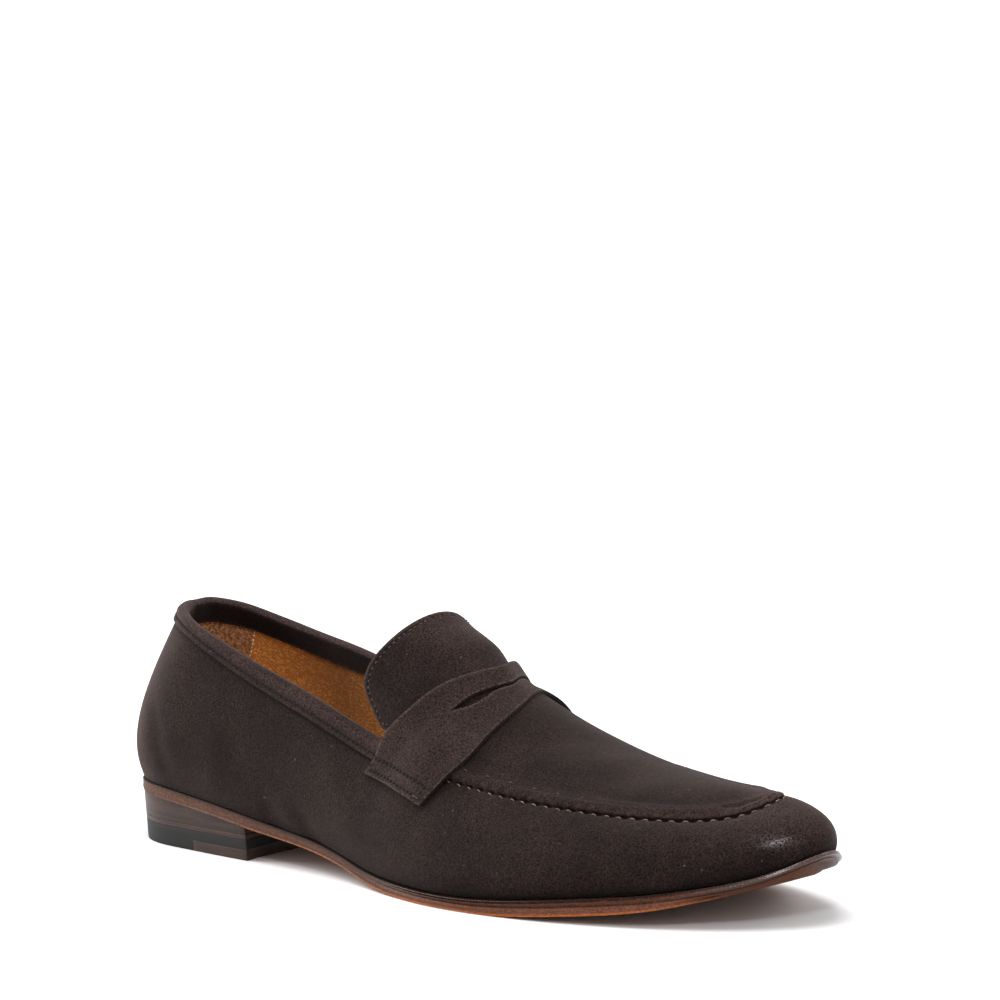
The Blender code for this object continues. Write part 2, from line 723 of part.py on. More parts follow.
def box_cutter(name, low, high, collection):
    bpy.ops.mesh.primitive_cube_add(size=1.0)
    box = bpy.context.object
    box.name = name
    low = np.array(low) * MM
    high = np.array(high) * MM
    box.data.transform(Matrix.Translation((low + high) / 2) @ Matrix.Diagonal((*(high - low), 1.0)))
    box.hide_render = True
    box.display_type = "WIRE"
    for owner in box.users_collection:
        owner.objects.unlink(box)
    collection.objects.link(box)
    return box


def cut(part, cutter, operation):
    boolean = part.modifiers.new(operation.lower(), "BOOLEAN")
    boolean.operation = operation
    boolean.object = cutter
    boolean.solver = "EXACT"


def centre_on_floor(parts, guides):
    """Move every mesh so that the origin lies under the middle of the whole shoe."""
    corners = np.array([v.co[:] for part in parts for v in part.data.vertices])
    low = corners.min(axis=0)
    high = corners.max(axis=0)
    shift = Matrix.Translation((-(low[0] + high[0]) / 2, -(low[1] + high[1]) / 2, -low[2]))
    for item in parts + guides:
        item.data.transform(shift)


def main():
    for item in list(bpy.data.objects):
        bpy.data.objects.remove(item)
    parts = bpy.data.collections.new(OBJECT_NAME)
    cutters = bpy.data.collections.new("cutters")
    bpy.context.scene.collection.children.link(parts)
    bpy.context.scene.collection.children.link(cutters)

    suede = make_material("suede", (0.032, 0.022, 0.021), 0.95)
    leather_edge = make_material("sole_leather", (0.10, 0.045, 0.024), 0.45)
    stacked = make_material("stacked_leather", (0.075, 0.042, 0.033), 0.5)
    rubber = make_material("heel_rubber", (0.025, 0.025, 0.024), 0.7)
    lining = make_material("tan_lining", (0.25, 0.11, 0.03), 0.6)

    made = [make_object("outsole", outsole_sheet(), leather_edge, parts)]
    made.append(make_object("insole", insole_sheet(), lining, parts))

    wedge = heel_sheet(level(BASE_LIFT_TOP + GAP), lambda x: sole_under(x) - GAP)
    base = heel_sheet(level(RUBBER_TOP + GAP), level(BASE_LIFT_TOP))
    block = heel_sheet(level(0.0), level(RUBBER_TOP))
    insert = heel_sheet(level(0.0), level(INSERT_TOP))
    made.append(make_object("heel_lift_wedge", wedge, stacked, parts))
    made.append(make_object("heel_lift_base", base, stacked, parts))
    heel_rubber = make_object("heel_rubber", block, rubber, parts)
    heel_insert = make_object("heel_insert", insert, stacked, parts)
    notch = box_cutter("rubber_notch", (INSERT_START, -FAR, -FAR), (FAR, FAR, INSERT_TOP + GAP), cutters)
    front = box_cutter("insert_front", (INSERT_START + GAP, -FAR, -FAR), (FAR, FAR, FAR), cutters)
    cut(heel_rubber, notch, "DIFFERENCE")
    cut(heel_insert, front, "INTERSECT")
    made += [heel_rubber, heel_insert]

    upper, throat = upper_sheet()
    binding = binding_sheet()
    tongue = tongue_sheet(throat)
    strap = strap_sheet([upper, binding, tongue])
    made.append(make_object("upper", upper, suede, parts))
    thicken(made[-1], UPPER_WALL, -1.0)
    made.append(make_object("collar_binding", binding, suede, parts))
    made.append(make_object("tongue", tongue, suede, parts))
    thicken(made[-1], TONGUE_THICKNESS, -1.0)
    made.append(make_object("saddle_strap", strap, suede, parts))
    thicken(made[-1], STRAP_THICKNESS, 1.0)

    centre_on_floor(made, [notch, front])


main()
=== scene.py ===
"""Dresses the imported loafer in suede, leather, rubber and thread, and lights it on a pale floor."""

import math

import bmesh
import bpy
import numpy as np
from mathutils import Matrix, Vector
from mathutils.bvhtree import BVHTree
from mathutils.kdtree import KDTree


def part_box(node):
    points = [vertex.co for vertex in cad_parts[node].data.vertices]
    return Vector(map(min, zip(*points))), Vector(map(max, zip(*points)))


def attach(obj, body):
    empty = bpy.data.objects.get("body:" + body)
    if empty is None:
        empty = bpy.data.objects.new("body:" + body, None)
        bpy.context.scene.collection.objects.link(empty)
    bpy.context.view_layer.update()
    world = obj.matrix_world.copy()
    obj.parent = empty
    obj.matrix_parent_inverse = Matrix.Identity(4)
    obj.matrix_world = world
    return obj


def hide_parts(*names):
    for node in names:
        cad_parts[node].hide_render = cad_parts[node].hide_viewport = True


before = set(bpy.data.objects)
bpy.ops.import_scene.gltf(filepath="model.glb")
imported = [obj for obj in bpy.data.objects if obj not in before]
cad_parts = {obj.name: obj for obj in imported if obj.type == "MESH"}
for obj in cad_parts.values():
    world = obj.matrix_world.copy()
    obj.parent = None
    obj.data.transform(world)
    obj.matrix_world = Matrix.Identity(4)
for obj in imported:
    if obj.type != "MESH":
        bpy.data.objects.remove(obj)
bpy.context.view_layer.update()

bl_info = {
    "name": "Suede Loafer",
    "version": (1, 0, 0),
    "blender": (4, 5, 0),
    "location": "View3D > Sidebar > Loafer",
    "description": "Suede upper, tan lining, leather sole, stacked heel and every seam of one penny loafer",
    "category": "Object",
}

MM = 0.001

# Lines along seams and edges are kept as points this far apart
STEP = 0.5 * MM

# The quarters are sewn together on this line down the heel, behind this place
BACK_SEAM_Y = 2.7 * MM
BACK_SEAM_X = -118 * MM

# Edges that turn more than this are the cut edges of a piece
CUT_EDGE = math.radians(55)

# The heel's lifts stand this far apart in the CAD
GLUE_GAP = 0.27 * MM

# A stitch is a string of rings from one sunk end to the other: where each lies along half the stitch's length,
# its height in thicknesses of the thread, and how many times wider it is than the ring before
STITCH_SUNK = 0.7
STITCH_END = 0.2
STITCH_RINGS = (
    (-0.72, -0.1, 2.1), (-0.3, 0.25, 1.2), (0.3, 0.25, 1.0), (0.72, -0.1, 0.83), (1.0, -STITCH_SUNK, 0.48)
)

# Heights of the rings of points up the sole's edge, from the tread to the welt's top
EDGE_HEIGHTS = (0.0, 0.2, 0.52, 0.58, 0.64, 0.92, 1.0)

# The welt and its groove grow out of the plain edge from this place on, over this length, in millimetres
FOREFOOT = (-12, 30)

# The toe is burnished on one patch that faces out and a little upwards, and faintly on its other side
BURNISHED = (((139.5, -10, 26.8), 1.0), ((141, 12, 26.8), 0.4))
BURNISH_SHAPE = (1.3, 1.1, 0.34)

# Soft creases of the upper, each as points on the suede in millimetres, its half width and its depth.
# A depth below nought is a soft ridge.
CREASES = (
    (((-122.9, -23.6, 54.2), (-119.6, -26.5, 46.1), (-118.0, -27.1, 35.9), (-115.5, -25.2, 24.4)), 4.0, 0.5),
    (((-128.0, -20.0, 50.0), (-127.0, -22.5, 38.0), (-125.0, -21.5, 26.0)), 4.5, -0.35),
    (((-92.0, -27.0, 60.0), (-89.9, -27.6, 54.0), (-87.4, -29.7, 40.7), (-93.6, -28.1, 24.4)), 7.0, -0.45),
    (((-65.1, -30.4, 22.4), (-60.4, -29.2, 15.9)), 4.0, 0.55),
    (((-54.0, -31.0, 23.0), (-50.0, -30.5, 15.5)), 3.6, -0.4),
    (((-45.7, -32.0, 19.5), (-39.0, -30.5, 10.9)), 4.0, 0.5),
    (((-31.2, -31.7, 39.3), (-20.6, -36.0, 27.6), (-15.8, -37.9, 16.7)), 7.0, -0.5),
    (((41.2, -42.6, 25.0), (56.5, -45.5, 16.8), (68.6, -45.0, 12.4)), 6.0, 0.4),
    (((41.8, -18.9, 49.3), (52.0, -5.0, 49.3), (56.0, 12.0, 47.0)), 6.0, 0.45),
    (((59.5, -19.7, 43.0), (68.0, -6.0, 45.0), (71.0, 10.0, 43.5)), 5.5, -0.4),
    (((76.8, -20.4, 38.3), (84.0, -4.0, 42.0), (86.0, 8.0, 41.0)), 6.0, 0.4),
    (((80.7, -37.1, 25.2), (96.5, -34.1, 23.3), (108.8, -29.5, 23.9)), 6.0, -0.4),
    (((-60.0, 33.0, 24.0), (-52.0, 31.0, 14.0)), 4.5, 0.5),
    (((40.0, 46.0, 26.0), (56.0, 47.0, 18.0), (72.0, 45.0, 13.0)), 6.0, 0.45),
    (((78.0, 38.0, 25.0), (96.0, 33.0, 24.0), (108.0, 28.0, 24.0)), 6.0, -0.35),
    (((-116.0, 32.0, 46.0), (-114.0, 32.5, 35.0), (-112.0, 31.0, 25.0)), 4.5, 0.45),
)

# The camera's place, what it looks at, its roll and its lens, fitted to the photograph
EYE = Vector((0.941922, -1.012469, 0.258456))
AIM = Vector((0.002753, 0.016912, 0.123049))
ROLL = math.radians(-1.146)
LENS = 152.31


def linear(code):
    """An sRGB hex colour as linear red, green and blue with full opacity."""
    parts = [int(code[i:i + 2], 16) / 255 for i in (1, 3, 5)]
    return tuple(c / 12.92 if c <= 0.04045 else ((c + 0.055) / 1.055) ** 2.4 for c in parts) + (1.0,)


def length_of(title, tells, millimetres):
    return bpy.props.FloatProperty(
        name=title, description=tells, default=millimetres * MM, min=0.0, precision=5, unit="LENGTH"
    )


def colour_of(title, tells, code):
    return bpy.props.FloatVectorProperty(
        name=title, description=tells, default=linear(code), size=4, min=0.0, max=1.0, subtype="COLOR"
    )


class LoaferSizes(bpy.types.PropertyGroup):
    """Sizes of the seams and the soft relief."""

    apron_pitch: length_of("Apron pitch", "From one hand stitch of the apron seam to the next", 4.45)
    apron_stitch: length_of("Apron stitch", "Length of a hand stitch that shows under the apron's roll", 2.1)
    apron_thread: length_of("Apron thread", "Thickness of the waxed thread of the apron seam", 0.39)
    apron_pinch: length_of("Apron pinch", "How far each hand stitch draws the roll in", 0.45)
    binding_pitch: length_of("Binding pitch", "Stitch spacing along the collar binding", 2.2)
    binding_margin: length_of("Binding margin", "From the binding's lower edge up to its stitching", 1.7)
    tongue_pitch: length_of("Tongue pitch", "Stitch spacing round the tongue", 2.2)
    tongue_margin: length_of("Tongue margin", "From the tongue's edge in to its stitching", 2.0)
    strap_pitch: length_of("Strap pitch", "Stitch spacing of the boxes at the strap's ends", 2.0)
    strap_margin: length_of("Strap margin", "From the strap's edge in to the stitched box", 1.8)
    strap_box: length_of("Strap box", "Height of the stitched box at each end of the strap", 4.4)
    grip_pitch: length_of("Heel grip pitch", "Stitch spacing of the heel grip's front seam", 1.65)
    fine_thread: length_of("Fine thread", "Thickness of the machine-sewn thread", 0.5)
    heel_round: length_of("Heel rounding", "Rounding of the edges of the heel's lifts", 0.25)


class LoaferColours(bpy.types.PropertyGroup):
    """Colours of the materials."""

    suede_nap: colour_of("Suede", "Suede where the nap lies flat", "#140c0b")
    # Brushed suede is also the colour that the painted light on the suede reaches
    suede_brushed_and_lit: colour_of("Brushed suede", "Suede where the nap is brushed up", "#2a1f1d")
    suede_edge: colour_of("Suede edge", "Worn and raw edges of the suede", "#4a3f39")
    suede_fleck: colour_of("Suede fleck", "Pale fibres that stand out of the nap", "#574c47")
    lining_tan: colour_of("Lining", "Tan lining leather", "#b47c3d")
    lining_dark: colour_of("Lining crease", "Lining leather down in its grain", "#885423")
    grip_light: colour_of("Heel grip", "Raised fibres of the heel grip", "#b98a63")
    grip_dark: colour_of("Heel grip shade", "Hollows of the heel grip", "#66452d")
    welt_brown: colour_of("Welt", "Dark stained upper band of the sole's edge", "#482c20")
    edge_brown: colour_of("Sole edge", "Stained lower band of the sole's edge", "#603a2a")
    sole_tan: colour_of("Sole", "Bare leather of the walking side", "#8a4a22")
    lift_brown: colour_of("Heel lifts", "Stained leather of the stacked heel", "#34231c")
    lift_dark: colour_of("Heel lift lines", "Dark lines between the fibres of the lifts", "#20140f")
    rubber_grey: colour_of("Heel rubber", "Dark rubber of the top piece", "#171716")
    apron_tan: colour_of("Apron thread", "Waxed tan thread of the apron seam", "#705849")
    dark_thread: colour_of("Dark thread", "Thread of the strap and the binding", "#0f0b0b")
    grey_thread: colour_of("Tongue thread", "Pale brown thread of the tongue", "#453a35")
    white_thread: colour_of("White thread", "Thread of the heel grip's seam", "#e6dac6")
    floor_white: colour_of("Floor", "Pale studio floor", "#ffffff")


def take_none():
    bpy.ops.object.select_all(action="DESELECT")


def take(piece):
    """Makes one piece the only one selected."""
    take_none()
    piece.select_set(True)
    bpy.context.view_layer.objects.active = piece


def copy_of(node, name, *materials):
    """A new piece with the mesh of a CAD node, its triangles joined back into four-sided faces."""
    piece = bpy.data.objects.new(name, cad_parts[node].data.copy())
    piece.data.name = name
    bpy.context.scene.collection.objects.link(piece)
    piece.data.materials.clear()
    for material in materials:
        piece.data.materials.append(material)
    take(piece)
    bpy.ops.mesh.customdata_custom_splitnormals_clear()
    bpy.ops.object.mode_set(mode="EDIT")
    bpy.ops.mesh.select_all(action="SELECT")
    bpy.ops.mesh.remove_doubles(threshold=0.001 * MM)
    bpy.ops.mesh.tris_convert_to_quads(face_threshold=math.pi, shape_threshold=math.pi, topology_influence=1.0)
    bpy.ops.object.mode_set(mode="OBJECT")
    return piece


def dress(piece, slot, *nodes):
    """Smooth shading, the part's body and the CAD nodes that the piece stands for, which are hidden; the slot is
    not used.
    """
    take(piece)
    bpy.ops.object.shade_smooth()
    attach(piece, "root")
    if nodes:
        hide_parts(*nodes)


def cut_finer(piece, chosen, cuts):
    """Subdivides the chosen faces of a piece, given as true or false for each."""
    take(piece)
    bpy.ops.object.mode_set(mode="EDIT")
    bpy.ops.mesh.select_all(action="DESELECT")
    bpy.ops.mesh.select_mode(type="FACE")
    bpy.ops.object.mode_set(mode="OBJECT")
    piece.data.polygons.foreach_set("select", np.asarray(chosen, bool))
    bpy.ops.object.mode_set(mode="EDIT")
    bpy.ops.mesh.subdivide(number_cuts=cuts, smoothness=0.0)
    bpy.ops.object.mode_set(mode="OBJECT")


def rows_of(items, name):
    """One vector of each item of a mesh, as rows."""
    flat = np.empty(len(items) * 3)
    items.foreach_get(name, flat)
    return flat.reshape(-1, 3)


def points_of(piece):
    return rows_of(piece.data.vertices, "co")


def normals_of(piece):
    return rows_of(piece.data.vertex_normals, "vector")


def place_at(piece, points):
    piece.data.vertices.foreach_set("co", points.ravel())
    piece.data.update()


def move_out(piece, amount):
    """Moves every point of a piece along its own normal."""
    place_at(piece, points_of(piece) + normals_of(piece) * np.asarray(amount)[:, None])


def paint(piece, name, values):
    """Keeps one number for each point of a piece, for its material to read."""
    layer = piece.data.attributes.get(name) or piece.data.attributes.new(name, "FLOAT", "POINT")
    layer.data.foreach_set("value", np.asarray(values, np.float32))


def painted(piece, name):
    values = np.empty(len(piece.data.vertices), np.float32)
    piece.data.attributes[name].data.foreach_get("value", values)
    return values


def skin_of(*names):
    """The surface of some pieces, to find the nearest place on it."""
    points, faces = [], []
    for piece in (bpy.data.objects[name] for name in names):
        faces += [[v + len(points) for v in face.vertices] for face in piece.data.polygons]
        points += points_of(piece).tolist()
    return BVHTree.FromPolygons(points, faces)


def run_along(line):
    """How far along a line each of its points is."""
    return np.concatenate([[0.0], np.cumsum(np.linalg.norm(np.diff(line, axis=0), axis=1))])


def even_line(knots, step=STEP):
    """A smooth line through the knots, as points an even step apart."""
    knots = np.asarray(knots, float)
    ends = np.vstack([2 * knots[0] - knots[1], knots, 2 * knots[-1] - knots[-2]])
    a, b, c, d = (ends[i:len(ends) - 3 + i, None] for i in range(4))
    t = np.linspace(0.0, 1.0, 16, endpoint=False)[None, :, None]
    rows = 0.5 * (2 * b + (c - a) * t + (2 * a - 5 * b + 4 * c - d) * t ** 2 + (3 * b - a - 3 * c + d) * t ** 3)
    dense = np.vstack([rows.reshape(-1, 3), knots[-1:]])
    run = run_along(dense)
    at = np.linspace(0.0, run[-1], max(2, round(run[-1] / step) + 1))
    return np.column_stack([np.interp(at, run, dense[:, i]) for i in range(3)])


def from_line(line, points, reach):
    """How far each point is from a line, up to a reach, and the number of the line's nearest point."""
    tree = KDTree(len(line))
    for i, point in enumerate(line):
        tree.insert(point, i)
    tree.balance()
    away = np.full(len(points), reach)
    nearest = np.zeros(len(points), int)
    close = np.all((points > line.min(0) - reach) & (points < line.max(0) + reach), axis=1)
    for i in np.flatnonzero(close):
        _, index, distance = tree.find(points[i])
        if distance < reach:
            away[i], nearest[i] = distance, index
    return away, nearest


def lines_along(edges, corner=math.radians(50)):
    """Edges of a mesh strung into lines of points, longest first, cut at corners and forks."""
    meets = {}
    for edge in edges:
        for vertex in edge.verts:
            meets.setdefault(vertex, []).append(edge)

    def is_end(vertex):
        if len(meets[vertex]) != 2:
            return True
        one, other = (edge.other_vert(vertex).co - vertex.co for edge in meets[vertex])
        return one.angle(-other) > corner

    left, lines = set(edges), []
    starts = [vertex for vertex in meets if is_end(vertex)]
    for start in starts + list(meets):
        for edge in meets[start]:
            chain = [start]
            while edge in left:
                left.remove(edge)
                chain.append(edge.other_vert(chain[-1]))
                onward = [e for e in meets[chain[-1]] if e in left]
                if is_end(chain[-1]) or not onward:
                    break
                edge = onward[0]
            if len(chain) > 1:
                lines.append(chain)

    def run(chain):
        return sum((a.co - b.co).length for a, b in zip(chain, chain[1:]))

    return sorted(lines, key=run, reverse=True)


def smooth_faces(seed):
    """The faces that can be reached from one face without crossing a cut edge."""
    found, waiting = {seed}, [seed]
    while waiting:
        for edge in waiting.pop().edges:
            if len(edge.link_faces) == 2 and edge.calc_face_angle() < CUT_EDGE:
                fresh = [face for face in edge.link_faces if face not in found]
                found.update(fresh)
                waiting += fresh
    return found


def patches_of(shape):
    """The patches of faces between a shape's cut edges, widest first."""
    done, patches = set(), []
    for face in shape.faces:
        if face not in done:
            patches.append(smooth_faces(face))
            done |= patches[-1]
    return sorted(patches, key=lambda patch: sum(face.calc_area() for face in patch), reverse=True)


def mark_points(shape, faces, mark):
    """Sets a mark of one on the points of some faces."""
    layer = shape.verts.layers.float[mark]
    for vertex in {vertex for face in faces for vertex in face.verts}:
        vertex[layer] = 1.0


def border_of(shape, faces):
    """The lines of points round a patch of faces."""
    edges = [edge for edge in shape.edges if sum(face in faces for face in edge.link_faces) == 1]
    return [np.array([vertex.co for vertex in line]) for line in lines_along(edges)]


def crease(shape, edges, amount):
    """Keeps edges sharp when the mesh is refined."""
    layer = shape.edges.layers.float["crease_edge"]
    for edge in edges:
        edge[layer] = amount


def cut_edges(shape, sharpness=CUT_EDGE):
    return [edge for edge in shape.edges if len(edge.link_faces) == 2 and edge.calc_face_angle() > sharpness]


def shape_of(piece, *marks):
    """A piece's mesh opened for reading its faces and edges, with room for creases and marks on its points."""
    shape = bmesh.new()
    shape.from_mesh(piece.data)
    shape.edges.layers.float.get("crease_edge") or shape.edges.layers.float.new("crease_edge")
    for mark in marks:
        shape.verts.layers.float.new(mark)
    shape.normal_update()
    return shape


def keep_shape(shape, piece, levels, set_out=1.0):
    """Gives a piece its changed shape, subdivided smoothly, and keeps the result in its mesh.

    Smoothing draws a mesh in, so its points are first set out by as much as they would move.
    """
    shape.to_mesh(piece.data)
    shape.free()
    take(piece)
    smoother = piece.modifiers.new("smooth", "SUBSURF")
    smoother.levels = smoother.render_levels = levels
    base = points_of(piece)
    drawn = points_of(piece.evaluated_get(bpy.context.evaluated_depsgraph_get()))[:len(base)]
    place_at(piece, base + (base - drawn) * set_out)
    bpy.ops.object.modifier_apply(modifier=smoother.name)


def evened(rows, reach=8):
    """Rows of directions averaged with their neighbours along a line, each of length one."""
    count = min(reach, len(rows) // 2)
    padded = np.pad(rows, ((count, count), (0, 0)), mode="edge")
    total = np.vstack([np.zeros(3), np.cumsum(padded, axis=0)])
    mean = total[2 * count + 1:] - total[:-2 * count - 1]
    return mean / np.linalg.norm(mean, axis=1, keepdims=True)


def on_skin(line, skin):
    """A line laid on a surface, with the surface's normals along it."""
    found = [skin.find_nearest(point) for point in line]
    return np.array([f[0] for f in found]), np.array([f[1] for f in found])


def beside(line, skin, distance, towards):
    """A line moved sideways along a surface, to the side that the given points lie on."""
    moved = np.array(line)
    # Steps of about 0.8 mm follow the surface's curve
    steps = max(1, round(distance / (0.8 * MM)))
    for _ in range(steps):
        along = evened(np.gradient(moved, axis=0))
        normal = evened(on_skin(moved, skin)[1])
        side = np.cross(normal, along)
        side *= np.where(np.sum(side * (towards - moved), axis=1) < 0, -1.0, 1.0)[:, None]
        moved = on_skin(moved + evened(side) * distance / steps, skin)[0]
    return moved


def stitch_model(stitch, thickness):
    """The points and faces of one stitch that lies along X."""
    take_none()
    at, up = -stitch / 2, -thickness * STITCH_SUNK
    bpy.ops.mesh.primitive_circle_add(
        vertices=6, radius=thickness * STITCH_END, fill_type="NGON", location=(at, 0, up),
        rotation=(0, math.pi / 2, 0),
    )
    model = bpy.context.object
    bpy.ops.object.transform_apply(location=True, rotation=True, scale=True)
    bpy.ops.object.mode_set(mode="EDIT")
    for share, rise, wider in STITCH_RINGS:
        step = (share * stitch / 2 - at, 0.0, rise * thickness - up)
        at, up = share * stitch / 2, rise * thickness
        bpy.ops.mesh.extrude_region_move(TRANSFORM_OT_translate={"value": step})
        bpy.ops.transform.resize(value=(1.0, wider, wider), center_override=(at, 0.0, up))
    bpy.ops.mesh.select_all(action="SELECT")
    bpy.ops.mesh.normals_make_consistent(inside=False)
    bpy.ops.object.mode_set(mode="OBJECT")
    made = points_of(model), [list(face.vertices) for face in model.data.polygons]
    bpy.data.objects.remove(model)
    return made


def sew(name, slot, material, line, skin, pitch, stitch, thickness, lean=0.0, lift=0.2):
    """Sews stitches along a line on a surface: one stitch is modelled and copied at each pitch.

    lean turns each stitch on the surface, and lift is the share of its thickness that it stands out.
    """
    base, faces = stitch_model(stitch, thickness)
    run = run_along(line)
    spots, normals = on_skin(line, skin)
    normals = evened(normals, 4)
    points, polygons = [], []
    for place in np.arange(0.5 * pitch, run[-1], pitch):
        i = int(np.abs(run - place).argmin())
        # A line may have a gap, and no stitch is set in it
        if abs(run[i] - place) > MM:
            continue
        normal = Vector(normals[i])
        along = Vector(line[min(i + 2, len(line) - 1)] - line[max(i - 2, 0)])
        along = Matrix.Rotation(lean, 3, normal) @ (along - normal * along.dot(normal)).normalized()
        turn = np.array([along, normal.cross(along), normal])
        polygons += [[v + len(points) for v in face] for face in faces]
        points += (base @ turn + spots[i] + normals[i] * thickness * lift).tolist()
    mesh = bpy.data.meshes.new(name)
    mesh.from_pydata(points, [], polygons)
    mesh.materials.append(material)
    piece = bpy.data.objects.new(name, mesh)
    bpy.context.scene.collection.objects.link(piece)
    dress(piece, slot)


# Settings of a node that mixes two colours, and of one that multiplies them
BLEND = {"out": 2, "data_type": "RGBA"}
TIMES = {**BLEND, "blend_type": "MULTIPLY"}


def feed(tree, node, inputs):
    """Gives a node its inputs, each as a value or as a link from another node."""
    for socket, value in inputs.items():
        if isinstance(value, bpy.types.NodeSocket):
            tree.links.new(value, node.inputs[socket])
        else:
            node.inputs[socket].default_value = value


def add(tree, kind, inputs=None, stops=(), out=0, **settings):
    """Adds one node to a material: its settings, the stops of its ramp, and its inputs as values or links.

    Gives the output that is asked for.
    """
    made = tree.nodes.new("ShaderNode" + kind)
    for name, value in settings.items():
        setattr(made, name, value)
    for i, (place, value) in enumerate(stops):
        elements = made.color_ramp.elements
        stop = elements[i] if i < 2 else elements.new(place)
        stop.position, stop.color = place, value if hasattr(value, "__len__") else (value, value, value, 1.0)
    feed(tree, made, inputs or {})
    return made.outputs[out]


def per(millimetres):
    """The scale of a pattern whose grains are so many millimetres apart."""
    return 1.0 / (millimetres * MM)


def calf_suede(tree, place, colours):
    """Calf suede, buffed on the flesh side: a dull short nap, patchy where it is brushed either way,
    pale at its worn edges, and pressed to a broken shine on the burnished toe."""
    edge, shade, lifted, burnish = (
        add(tree, "Attribute", out="Fac", attribute_name=name) for name in ("edge", "shade", "lifted", "burnish")
    )
    # Patches of brushed nap a thumb's width across, with smaller strokes inside them
    patches = add(tree, "TexNoise", {"Vector": place, "Scale": per(24), "Detail": 5.0, "Roughness": 0.62})
    brushed = add(tree, "ValToRGB", {0: patches}, ((0.36, 0.0), (0.7, 0.5)))
    # Painted light: where a piece marks it, the suede is lightened towards its brushed colour
    brushed_and_lit = add(tree, "Math", {0: brushed, 1: lifted}, operation="ADD", use_clamp=True)
    # The nap is about 0.2 mm; it is drawn at 0.55 mm so that it shows
    nap = add(tree, "TexNoise", {"Vector": place, "Scale": per(0.55), "Detail": 3.0, "Roughness": 0.75})
    grain = add(tree, "ValToRGB", {0: nap}, ((0.37, 0.05), (0.65, 2.2)))
    fibres = add(tree, "TexNoise", {"Vector": place, "Scale": per(1.2), "Detail": 0.0})
    flecks = add(tree, "ValToRGB", {0: fibres}, ((0.83, 0.0), (0.9, 0.45)))
    tone = add(tree, "Mix", {0: brushed_and_lit, 6: colours.suede_nap, 7: colours.suede_brushed_and_lit}, **BLEND)
    tone = add(tree, "Mix", {0: edge, 6: tone, 7: colours.suede_edge}, **BLEND)
    tone = add(tree, "Mix", {0: 1.0, 6: tone, 7: grain}, **TIMES)
    tone = add(tree, "Mix", {0: flecks, 6: tone, 7: colours.suede_fleck}, **BLEND)
    # Painted shade: where a piece marks it, the suede is darkened to almost black
    tone = add(tree, "Mix", {0: shade, 6: tone, 7: linear("#0b0707")}, **BLEND)
    pressed = add(tree, "ValToRGB", {0: nap}, ((0.42, 0.0), (0.62, 1.0)))
    relief = add(tree, "Math", {0: patches, 1: 0.6, 2: nap}, operation="MULTIPLY_ADD")
    return {
        "Base Color": tone, "Roughness": 0.95, "Specular IOR Level": 0.1,
        "Sheen Weight": 0.13, "Sheen Roughness": 0.35, "Sheen Tint": linear("#dfccc2"),
        "Coat Weight": add(tree, "Math", {0: burnish, 1: pressed}, operation="MULTIPLY"),
        "Coat Roughness": 0.28, "Coat IOR": 1.5,
        "Normal": add(tree, "Bump", {"Height": relief, "Strength": 0.7, "Distance": 0.35 * MM}),
    }


def lining_leather(tree, place, colours):
    """Vegetable-tanned lining leather, drum milled: honey tan with a fine wrinkled grain and a soft polish."""
    # The wrinkles of the milled grain are about 2 mm long and 1.1 mm apart, slanting down to the toe
    slant = {"Vector": place, "Rotation": (0.0, 0.62, 0.0), "Scale": (1.5, 1.0, 0.85)}
    slanted = add(tree, "Mapping", slant, vector_type="TEXTURE")
    grain = add(tree, "TexNoise", {"Vector": slanted, "Scale": per(1.3), "Detail": 3.0, "Roughness": 0.6})
    # Wrinkles are the places where the noise passes its middle
    off_middle = add(tree, "Math", {0: grain, 1: 0.5}, operation="SUBTRACT")
    ridge = add(tree, "Math", {0: off_middle}, operation="ABSOLUTE")
    wrinkle = add(tree, "ValToRGB", {0: ridge}, ((0.0, 0.0), (0.16, 1.0)))
    # Painted light and shade along the lining: lighter near the heel, darkest at about 87 mm behind the shoe's
    # middle, and lighter again towards the front
    lengthwise = add(tree, "SeparateXYZ", {0: place}, out="X")
    run = add(tree, "MapRange", {0: lengthwise, 1: -125 * MM, 2: -25 * MM, 3: 0.0, 4: 1.0})
    uneven = add(tree, "ValToRGB", {0: run}, ((0.05, 1.9), (0.38, 0.8), (0.85, 1.5)))
    tone = add(tree, "Mix", {0: wrinkle, 6: colours.lining_dark, 7: colours.lining_tan}, **BLEND)
    return {
        "Base Color": add(tree, "Mix", {0: 1.0, 6: tone, 7: uneven}, **TIMES),
        "Roughness": add(tree, "MapRange", {0: wrinkle, 3: 0.7, 4: 0.5}), "Specular IOR Level": 0.35,
        "Normal": add(tree, "Bump", {"Height": wrinkle, "Strength": 1.0, "Distance": 0.35 * MM}),
    }


def split_suede(tree, place, colours):
    """Split suede of the heel grip, left rough on purpose: open brown fibres that look almost woven."""
    # Bundles of fibre about 0.7 mm thick and 2 mm long, combed down to the toe
    comb = {"Vector": place, "Rotation": (0.0, 0.8, 0.0), "Scale": (2.4, 1.0, 0.8)}
    combed = add(tree, "Mapping", comb, vector_type="TEXTURE")
    rough = add(tree, "TexNoise", {"Vector": combed, "Scale": per(0.9), "Detail": 2.0, "Roughness": 0.6})
    return {
        "Base Color": add(tree, "ValToRGB", {0: rough}, ((0.36, colours.grip_dark), (0.64, colours.grip_light))),
        "Roughness": 0.95, "Specular IOR Level": 0.15,
        "Normal": add(tree, "Bump", {"Height": rough, "Strength": 0.8, "Distance": 0.4 * MM}),
    }


